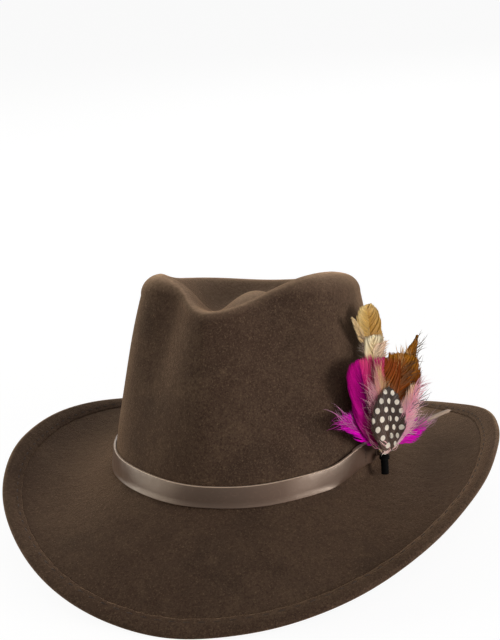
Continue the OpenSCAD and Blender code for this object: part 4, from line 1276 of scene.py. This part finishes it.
def make_plumes():
    magenta = plume_material("magenta plume", srgb(190, 10, 150), sheen=0.0, dark_streaks=0.15, pale_patches=0.0,
                             shine=0.04)
    gold = plume_material("gold plume", srgb(186, 150, 78), sheen=0.05, dark_streaks=0.06)
    cream = plume_material("cream plume", srgb(232, 214, 180), sheen=0.05, dark_streaks=0.04)
    amber = plume_material("amber plume", srgb(160, 105, 40), sheen=0.0, dark_streaks=0.15, pale_patches=0.0,
                           shine=0.1)
    rose = plume_material("rose plume", srgb(205, 80, 110), sheen=0.0, dark_streaks=0.1, pale_patches=0.0,
                          shine=0.1)
    peach = plume_material("peach plume", srgb(232, 165, 150), sheen=0.4, dark_streaks=0.0)
    guinea = plume_material("guinea plume", srgb(70, 55, 48), sheen=0.05, dark_streaks=0.2, dots=True)
    horn = plume_material("quill horn", srgb(176, 152, 134), sheen=0.0, rough=0.4, dark_streaks=0.15)

    plume("gold_plume", "gold_feather", gold, 1, [(2, 2), (10, 60), (8, 95)],
          [2.5, 4.2, 6.4, 7.4, 8.2, 4.0], [8.7, 8.0, 7.6, 7.0, 6.0, 3.0], start=0.7, roots=0.68, shade=0.05,
          pitch=0.34, breadth=0.9, lean=24, cap=0.7, ragged=0.02, split=0.06, quill=(196, 160, 92),
          shaft=0.35, low=((0.68, (192, 152, 78)), (1, (202, 162, 84))),
          high=((0.68, (202, 164, 90)), (0.9, (212, 176, 104)), (1, (226, 196, 130))),
          right_tones=(((0.68, (178, 130, 52)), (1, (190, 146, 64))),
                       ((0.68, (190, 144, 64)), (0.85, (184, 138, 56)), (1, (214, 176, 100)))), seed=11)
    plume("gold_sliver_plume", "gold_sliver", gold, 2, [(2, 2), (12, 70), (-8, 91)],
          [1.5, 2.6, 2.8, 2.2, 0.4], [2.5, 3.0, 2.6, 1.6, 0.3], start=0.7, roots=0.67, shade=0.05,
          pitch=0.4, breadth=0.6, lean=20, low=((0.6, (188, 152, 98)), (1, (200, 166, 112))),
          high=((0.6, (206, 172, 122)), (1, (226, 200, 150))), quill=(214, 188, 138), shaft=0.3, seed=12)
    plume("cream_plume", "cream_feather", cream, 3, [(1, 2), (6, 40), (9, 75.5)],
          [3, 5, 6.5, 7.0, 6.5, 5.5], [3, 4, 4.5, 4.5, 5.5, 6.5], start=0.45, roots=0.35, shade=0.04,
          pitch=0.34, breadth=1.0, lean=18, cap=0.4, split=0.05, ragged=0.03, quill=(236, 212, 160),
          shaft=0.3, low=((0, (226, 186, 124)), (0.8, (236, 206, 148)), (1, (242, 222, 176))),
          high=((0, (232, 196, 136)), (0.8, (242, 216, 164)), (1, (248, 234, 196))),
          wisps=((60, (0.66, 0.93), (9, 19), (-74, -40), ((176, 156, 132), (122, 106, 92)), 0.2, -0.4),
                 (50, (0.68, 0.84), (9, 15), (30, 58), ((240, 214, 176), (234, 200, 172)), 0.5, 0.2)),
          seed=13)
    plume("amber_spike_plume", "amber_spike", amber, 4, [(3, 2), (26, 40), (42, 70)],
          [0.6, 1.5, 3, 5, 7, 8, 7, 3.4, 0.3], [0.6, 1.5, 3, 4, 4.6, 4.2, 3.4, 1.8, 0.3],
          pitch=0.42, breadth=0.9, lean=18, ragged=0.05, split=0.1, quill=(150, 100, 40), shaft=0.35,
          shade=0.06, low=((0, (160, 104, 30)), (0.7, (136, 80, 2)), (1, (142, 86, 6))),
          high=((0, (166, 110, 36)), (0.7, (146, 88, 4)), (1, (152, 96, 8))),
          wisps=((26, (0.6, 0.9), (9, 17), (4, 34), ((120, 84, 42), (104, 84, 60)), 0.2, 0.3),
                 (34, (0.5, 0.75), (8, 15), (-44, -12), ((196, 150, 84), (206, 160, 104)), 0.25, 0.3)),
          seed=14)
    plume("amber_plume", "amber_feather", amber, 5, [(2, 2), (20, 34), (27, 61)],
          [0.6, 2, 4.5, 7, 9.5, 12, 12.5, 11.5, 9], [0.6, 2.5, 6, 10, 13, 15, 16, 14.5, 12],
          pitch=0.38, breadth=1.1, lean=30, ragged=0.05, split=0.08, cap=0.5, quill=(132, 72, 26),
          shaft=0.32, shade=0.06,
          low=((0, (184, 112, 50)), (0.5, (134, 62, 2)), (0.8, (116, 54, 0)), (1, (136, 76, 2))),
          high=((0, (190, 116, 56)), (0.55, (150, 76, 6)), (0.85, (136, 70, 2)), (1, (160, 102, 16))),
          wisps=((40, (0.5, 0.8), (13, 22), (34, 66), ((130, 80, 40), (92, 66, 46)), 0.22, 0.3),
                 (20, (0.7, 0.95), (6, 13), (-34, 0), ((196, 130, 60), (216, 170, 110)), 0.26, 0.3)),
          seed=15)
    plume("magenta_left_plume", "magenta_hackle_left", magenta, 6,
          [(-3, 12), (-18, 23), (-38, 33)],
          [1, 3, 4.5, 5, 5.2, 5, 4.6, 4, 2.5], [1, 6, 9, 10.5, 10.5, 9, 7.5, 5.5, 4],
          pitch=0.3, breadth=0.6, lean=20, ragged=0.16, split=0.3, fullness=1.8, lift=0.3,
          low=((0, (226, 4, 184)), (0.4, (222, 0, 184)), (1, (228, 4, 196))),
          high=((0, (232, 12, 192)), (0.7, (234, 4, 204)), (1, (238, 30, 210))),
          quill=(214, 0, 176), shaft=0.25,
          wisps=((40, (0.35, 0.95), (11, 20), (-20, 34), ((216, 10, 182), (214, 160, 192)), 0.2, 0.2),
                 (44, (0.3, 0.95), (9, 15), (-34, 16), ((204, 4, 168), (210, 60, 180)), 0.26, 0.2)),
          seed=16)
    plume("magenta_petal_plume", "magenta_petal", magenta, 7,
          [(-5, 8), (-12, 30), (-13, 66)],
          [2, 4, 6.5, 9, 11, 12.4, 13.6, 15, 16.4, 17.2, 17, 15.8, 15, 15.8, 16, 15.4, 13.8, 10.4],
          [2, 5, 8, 10, 11, 12, 13, 13.5, 14, 14, 14],
          pitch=0.36, breadth=0.95, lean=26, ragged=0.01, split=0.02, cap=0.45, cup=0.3, shade=0.04,
          low=((0, (240, 60, 168)), (0.25, (206, 24, 146)), (0.45, (136, 0, 102)), (0.8, (142, 0, 104)),
               (1, (168, 0, 118))),
          high=((0, (244, 90, 180)), (0.25, (214, 30, 154)), (0.45, (140, 0, 108)), (0.8, (160, 0, 116)),
                (1, (194, 4, 134))),
          quill=(128, 0, 98), shaft=0.2,
          right_tones=(((0, (190, 40, 120)), (0.6, (200, 40, 116)), (1, (200, 30, 120))),
                       ((0, (216, 90, 140)), (0.6, (222, 90, 128)), (1, (216, 70, 124)))), seed=17)
    plume("magenta_right_plume", "magenta_hackle_right", magenta, 8,
          [(3, 7.5), (20, 13), (40, 14)],
          [1, 3, 5, 6, 7, 7.5, 6.5, 4.5, 2.5], [1, 2, 3, 4, 5.5, 6.5, 7, 6, 3],
          pitch=0.32, breadth=0.6, lean=26, ragged=0.16, split=0.3, fullness=2, lift=0.4,
          low=((0, (236, 90, 176)), (0.45, (224, 2, 182)), (1, (220, 2, 186))),
          high=((0, (244, 140, 200)), (0.5, (232, 8, 196)), (1, (232, 24, 204))),
          quill=(214, 30, 160), shaft=0.25,
          wisps=((40, (0.4, 0.95), (8, 17), (-40, 4), ((226, 80, 176), (234, 180, 204)), 0.22, 0.3),
                 (20, (0.5, 0.9), (13, 22), (-22, -4), ((160, 110, 134), (170, 150, 150)), 0.2, 0.3)),
          seed=18)
    plume("peach_plume", "peach_hackle", peach, 9, [(5, 5), (24, 18), (33, 41)],
          [1, 3, 5, 6.5, 7, 7, 6, 4.5, 2.5], [1, 3, 5, 6.5, 7, 7, 6.5, 5, 3],
          pitch=0.28, breadth=0.52, lean=28, ragged=0.2, split=0.3, fullness=2.2, lift=0.3,
          low=((0, (250, 214, 212)), (0.35, (246, 142, 200)), (0.6, (250, 184, 188)), (1, (240, 180, 124))),
          high=((0, (252, 210, 214)), (0.4, (250, 156, 206)), (0.65, (252, 196, 196)), (1, (246, 204, 156))),
          quill=(240, 176, 180),
          wisps=((130, (0.25, 0.95), (8, 17), (8, 62), ((240, 156, 182), (246, 200, 206)), 0.22, 0.3),
                 (60, (0.2, 0.7), (9, 17), (-40, -8), ((236, 150, 176), (244, 190, 200)), 0.22, 0.3),
                 (10, (0.6, 0.78), (14, 19), (30, 48), ((100, 44, 70), (64, 40, 56)), 0.3, 0.4)),
          shaft=0.3, seed=19)
    plume("rose_plume", "rose_feather", rose, 10, [(0, 5), (5, 35), (11, 62)],
          [1, 3, 6, 8.5, 10, 10.5, 11, 11.5, 11.5], [1, 3, 5, 7, 8.5, 10, 11.5, 12, 11.5],
          pitch=0.36, breadth=0.95, lean=24, ragged=0.02, split=0.04, cap=0.3, quill=(180, 80, 76),
          shaft=0.25, shade=0.06,
          low=((0, (222, 150, 140)), (0.6, (212, 116, 110)), (0.85, (198, 66, 94)), (1, (190, 46, 96))),
          high=((0, (226, 160, 150)), (0.6, (216, 106, 116)), (0.9, (204, 60, 112)), (1, (204, 50, 116))),
          right_tones=(((0, (214, 150, 110)), (0.6, (152, 80, 18)), (1, (140, 56, 8))),
                       ((0, (210, 140, 100)), (0.6, (136, 68, 8)), (0.9, (126, 56, 2)), (1, (146, 66, 16)))),
          seed=20)
    plume("cream_hackle_plume", "cream_hackle", peach, 11, [(-1, 5), (-3, 31), (1, 58)],
          [1, 4, 7, 8.5, 9, 8.5, 7.5, 6, 4, 2], [1, 4, 7, 8, 8.5, 9, 9, 8, 5.5, 2.5],
          pitch=0.34, breadth=0.36, lean=18, ragged=0.3, split=0.5, fullness=1.4, lift=0.3,
          low=((0, (242, 216, 206)), (0.4, (236, 180, 160)), (0.7, (222, 172, 132)), (1, (226, 182, 138))),
          high=((0, (246, 206, 208)), (0.5, (244, 176, 178)), (0.8, (236, 180, 158)), (1, (232, 190, 156))),
          right_tones=(((0, (236, 206, 190)), (0.4, (218, 164, 120)), (1, (208, 158, 106))),
                       ((0, (240, 204, 196)), (0.5, (226, 178, 134)), (1, (226, 186, 138)))),
          wisps=((190, (0.02, 0.6), (17, 29), (-58, -26), ((226, 100, 146), (246, 186, 196)), 0.26, 0.15),
                 (90, (0.45, 0.85), (9, 18), (-34, -6), ((232, 140, 146), (240, 184, 170)), 0.26, 0.15),
                 (60, (0.4, 0.92), (8, 16), (-8, 30), ((222, 178, 124), (232, 196, 150)), 0.26, 0.15)),
          quill=(226, 186, 160), shaft=0.15, seed=21)
    plume("guinea_plume", "guinea_feather", guinea, 13.5,
          [(-1.5, 6), (-2.5, 24), (11.5, 42)],
          [8, 13, 18, 21, 21.5, 21, 18, 12, 5], [5, 9, 13, 16.5, 17.5, 17.5, 15.5, 11, 5],
          pitch=0.3, breadth=0.85, lean=34, ragged=0.02, split=0.04, cap=1.0, cup=0.4, start=0.06, roots=0.0,
          low=((0, (86, 64, 52)), (0.5, (60, 43, 34)), (1, (54, 40, 32))), shade=0.08, lift=0.15,
          high=((0, (92, 70, 58)), (0.5, (68, 51, 41)), (1, (64, 49, 40))), quill=(64, 47, 38), shaft=0.3,
          wisps=((80, (0.03, 0.25), (13, 23), (-50, -30), ((226, 150, 160), (246, 200, 200)), 0.24, -0.2),
                 (12, (0.0, 0.05), (12, 20), (-60, -48), ((216, 160, 156), (244, 200, 198)), 0.26, 0.2),
                 (10, (0.0, 0.04), (8, 12), (-92, -70), ((220, 180, 172), (236, 206, 198)), 0.3, 0.2),
                 (60, (0.0, 0.16), (14, 26), (30, 58), ((224, 160, 160), (246, 200, 200)), 0.26, -0.3),
                 (8, (0.0, 0.04), (12, 20), (50, 64), ((214, 160, 156), (244, 200, 198)), 0.26, 0.2),
                 (8, (0.0, 0.04), (8, 13), (60, 84), ((226, 190, 180), (240, 212, 204)), 0.3, 0.2)),
          dots=[(0, 4), (1.5, 23), (7, 44)], seed=22)
    plume("pale_quill_shaft", "pale_quill", horn, 0, [(3, 3), (30, 12), (66, 15.5)],
          [0.4] * 5, [0.4] * 5, start=0.5, pitch=2.0, breadth=0.2, lean=30, quill=(176, 154, 134), shaft=1.5,
          low=((0, (170, 148, 130)),), high=((0, (176, 156, 140)),), taper=0.1, seed=23)


def stem_point(out, turn, height):
    """A place round the stem's centre line: out from it, at an angle, at a height above its foot."""
    x, y, _ = on_sheet(STEM_SHIFT, 0, STEM_N)
    return vec(x + out * np.cos(turn), y + out * np.sin(turn), STEM_BASE + STEM_RISE + height)


def make_stem(material):
    """The quills' ends bound in black tape, each lap of which covers the edge of the last."""
    turn = np.linspace(0, 2 * math.pi, 32, endpoint=False)
    rounded = ((1.2, 0), (1.9, 0.1))
    rings = [stem_point(out, turn, h) for out, h in rounded]
    for h in np.linspace(STEM_END, STEM_L - STEM_END, 74):
        lap = (h / TAPE_PITCH - turn / (2 * math.pi)) % 1
        over = TAPE_T * (lap ** 0.6 - 0.8 * np.clip((lap - 0.93) / 0.07, 0, 1))
        rings.append(stem_point(STEM_D / 2 - 0.28 + over, turn, h))
    rings += [stem_point(out, turn, STEM_L - h) for out, h in rounded[::-1]]
    return finish_piece(swept("trim_stem_tape", rings, material), "trim_stem")


def make_wrap(material):
    """A few turns of waxed thread round the stem below the feathers' roots."""
    a = np.linspace(0, 2 * math.pi * WRAP_TURNS, 30 * WRAP_TURNS)
    height = STEM_L - WRAP_H - WRAP_DROP + 0.35 + (WRAP_H - 0.7) * a / a[-1]
    rings = tube(stem_point(STEM_D / 2 + WRAP_THREAD + 0.05, a, height), WRAP_THREAD, 7)
    return finish_piece(swept("trim_wrap_thread", rings, material), "trim_wrap")


def make_clip(material):
    """A bent steel clip: a plate that lies on the band, and an arm that reaches out to the stem's wrap."""
    at = TRIM_ANGLE + CLIP_PAST
    foot = float(band_base(at)) + CLIP_FOOT
    rings = []
    for h in np.linspace(0, CLIP_H, 25):
        inset = CLIP_ROUND - min(h, CLIP_H - h, CLIP_ROUND)
        half = CLIP_W / 2 - CLIP_ROUND + math.sqrt(CLIP_ROUND ** 2 - inset ** 2)
        side, low, high = half - CLIP_EDGE, CLIP_EDGE, CLIP_T - CLIP_EDGE
        a, out = np.array([(-half, low), (-half, high), (-side, CLIP_T), (side, CLIP_T), (half, high),
                           (half, low), (side, 0), (-side, 0)]).T
        rings.append(on_wall(at + np.degrees(a / TRIM_ROOT), CLIP_OUT + out, foot + h))
    plate = swept("trim_clip_plate", rings, material)
    start = on_wall(at, CLIP_OUT + CLIP_T / 2, foot + CLIP_ARM_UP)
    reach = (stem_point(0, 0, 0) - start) * [1, 1, 0]
    way = unit(reach)
    reach -= way * (STEM_D / 2 + CLIP_ARM_SHORT)
    turn = np.linspace(0, 2 * math.pi, 24, endpoint=False)
    across, up = (np.sign(c) * np.abs(c) ** CLIP_ARM_SQUARE for c in (np.cos(turn), np.sin(turn)))
    section = (np.outer(across, np.cross([0, 0, 1], way)) * CLIP_ARM_W / 2
               + np.outer(up, [0, 0, 1]) * CLIP_ARM_T / 2)
    rings = [start + reach * k + section for k in np.linspace(0, 1, 7)]
    clip = joined("trim_clip_bent", plate, swept("trim_clip_arm", rings, material))
    return finish_piece(clip, "trim_clip")


def give(node, material):
    """A finish for a part that keeps its own shape."""
    for held in nodes[node].material_slots:
        held.material = material


# ---------------------------------------------------------------- the pieces

# the band's edge tone is a painted highlight along its top edge
band_leather = leather_material("band leather", srgb(86, 67, 56), srgb(108, 87, 74), grain=0.4, rough=0.34,
                                specular=0.6, edge=srgb(205, 182, 160))
sweat_leather = leather_material("sweatband leather", srgb(120, 84, 56), srgb(150, 112, 78), grain=0.8,
                                 rough=0.55)
felt_thread = thread_material("felt thread", srgb(66, 52, 42))
band_thread = thread_material("band thread", srgb(92, 74, 64))
tan_thread = thread_material("tan thread", srgb(176, 150, 112))
steel = steel_material("spring steel", srgb(150, 152, 155), 0.3)
browned = steel_material("browned steel", srgb(128, 108, 94), 0.45)

make_felt(felt_material())
make_fold_stitches(felt_thread)
make_hat_band(band_leather)
make_lap_stitches(band_thread)
make_sweatband(sweat_leather)
make_reed(plastic_material("reed plastic", srgb(60, 48, 40)))
make_sweat_stitches(tan_thread)
make_bow(ribbon_material("bow ribbon", srgb(46, 36, 31), RIBBON_RIB))
tag = make_tag(cloth_material("tag cloth", srgb(226, 220, 206), TAG_THREAD), tan_thread)
make_stem(tape_material("stem tape", srgb(5, 5, 5)))
make_wrap(tape_material("wrap thread", srgb(9, 8, 8)))
make_plumes()
give("brim_wire", steel)
give("brim_wire_sleeve", steel)
make_clip(browned)


# ---------------------------------------------------------------- studio

FLOOR_HALF, FLOOR_GLOW, GLOW_SHARE, WORLD_LIGHT = 9.0, 1.1, 0.85, 0.11

# the camera: its place in metres, the azimuth and elevation that it looks from, the angles by which it aims
# to the right and up from there, and its roll, all in degrees, and its lens and sensor in millimetres
CAMERA_AT = (0.24598, -0.91745, 0.43486)
CAMERA_AZIMUTH, CAMERA_ELEVATION, CAMERA_RIGHT, CAMERA_UP, CAMERA_ROLL = 15, 21, 0.3, 3.3, -4.5
LENS, SENSOR = 86.18, 36

# soft lamps: azimuth from the hat's front to the wearer's left and elevation, in degrees, width and height
# in metres, power in watts, and tint
LAMP_DISTANCE, LAMP_AIM = 1.8, (0, 0, 0.07)
LAMPS = (("lamp_left", -80, 8, (1.7, 1.2), 19, (1, 0.95, 0.84)),
         ("lamp_left_back", -116, 28, (1.1, 1.1), 4, (1, 1, 1)),
         ("lamp_front", 36, 42, (1.2, 1.2), 6.5, (1, 0.95, 0.95)),
         ("lamp_right", 74, 3, (0.7, 0.9), 26.5, (1, 0.95, 0.93)),
         ("lamp_back", 180, 32, (1.1, 1.1), 7, (1, 1, 1)))


def stage_material():
    """A pale floor that the camera sees as the white of the studio, with the hat's shadow on it."""
    material = bpy.data.materials.new("studio floor")
    material.use_nodes = True
    g = Nodes(material.node_tree)
    paper = g.add("ShaderNodeBsdfDiffuse", Color=(0.8, 0.8, 0.8, 1))
    glow = g.add("ShaderNodeEmission", Color=(1, 1, 1, 1), Strength=FLOOR_GLOW)
    seen = g.times(g.add("ShaderNodeLightPath").outputs["Is Camera Ray"], GLOW_SHARE)
    both = g.add("ShaderNodeMixShader")
    for i, value in enumerate((seen, paper.outputs[0], glow.outputs[0])):
        g.put(both, i, value)
    g.add("ShaderNodeOutputMaterial", Surface=both.outputs[0])
    return material


def make_stage():
    corners = [(x * FLOOR_HALF, y * FLOOR_HALF, 0) for x, y in ((-1, -1), (1, -1), (1, 1), (-1, 1))]
    floor = mesh_object("studio_floor", corners, [(0, 1, 2, 3)], stage_material(), smooth=False)


def make_world():
    """White to the camera and in what glossy and clear surfaces show, and a weak light on the hat."""
    world = bpy.data.worlds.new("studio")
    bpy.context.scene.world = world
    world.use_nodes = True
    g = Nodes(world.node_tree)
    ray = g.add("ShaderNodeLightPath").outputs
    seen = g.math("MAXIMUM", g.math("MAXIMUM", ray["Is Camera Ray"], ray["Is Glossy Ray"]),
                  ray["Is Transmission Ray"])
    strength = g.add("ShaderNodeMapRange", Value=seen, To_Min=WORLD_LIGHT, To_Max=1.0).outputs[0]
    background = g.add("ShaderNodeBackground", Color=(1, 1, 1, 1), Strength=strength)
    g.add("ShaderNodeOutputWorld", Surface=background.outputs[0])


def direction(azimuth, elevation):
    a, e = math.radians(azimuth), math.radians(elevation)
    return Vector((math.sin(a) * math.cos(e), -math.cos(a) * math.cos(e), math.sin(e)))


def make_lamp(name, azimuth, elevation, size, power, tint):
    light = bpy.data.lights.new(name, "AREA")
    light.shape = "RECTANGLE"
    light.size, light.size_y = size
    light.energy = power
    light.color = tint
    obj = bpy.data.objects.new(name, light)
    bpy.context.scene.collection.objects.link(obj)
    away = direction(azimuth, elevation)
    obj.location = Vector(LAMP_AIM) + away * LAMP_DISTANCE
    obj.rotation_euler = away.to_track_quat("Z", "Y").to_euler()


def make_camera():
    back = direction(CAMERA_AZIMUTH, CAMERA_ELEVATION)
    right = direction(CAMERA_AZIMUTH + 90, 0)
    aim = -back + right * math.tan(math.radians(CAMERA_RIGHT))
    aim = (aim + back.cross(right) * math.tan(math.radians(CAMERA_UP))).normalized()
    level = aim.cross(Vector((0, 0, 1))).normalized()
    rise = level.cross(aim)
    roll = math.radians(CAMERA_ROLL)
    x = level * math.cos(roll) + rise * math.sin(roll)
    y = rise * math.cos(roll) - level * math.sin(roll)
    data = bpy.data.cameras.new("studio_camera")
    data.lens = LENS
    data.sensor_width = SENSOR
    data.clip_end = 50
    camera = bpy.data.objects.new("studio_camera", data)
    bpy.context.scene.collection.objects.link(camera)
    turned = Matrix((x, y, -aim)).transposed().to_4x4()
    camera.matrix_world = Matrix.Translation(CAMERA_AT) @ turned
    bpy.context.scene.camera = camera


make_stage()
make_camera()
make_world()
for lamp in LAMPS:
    make_lamp(*lamp)

bpy.context.scene.view_settings.view_transform = "Standard"
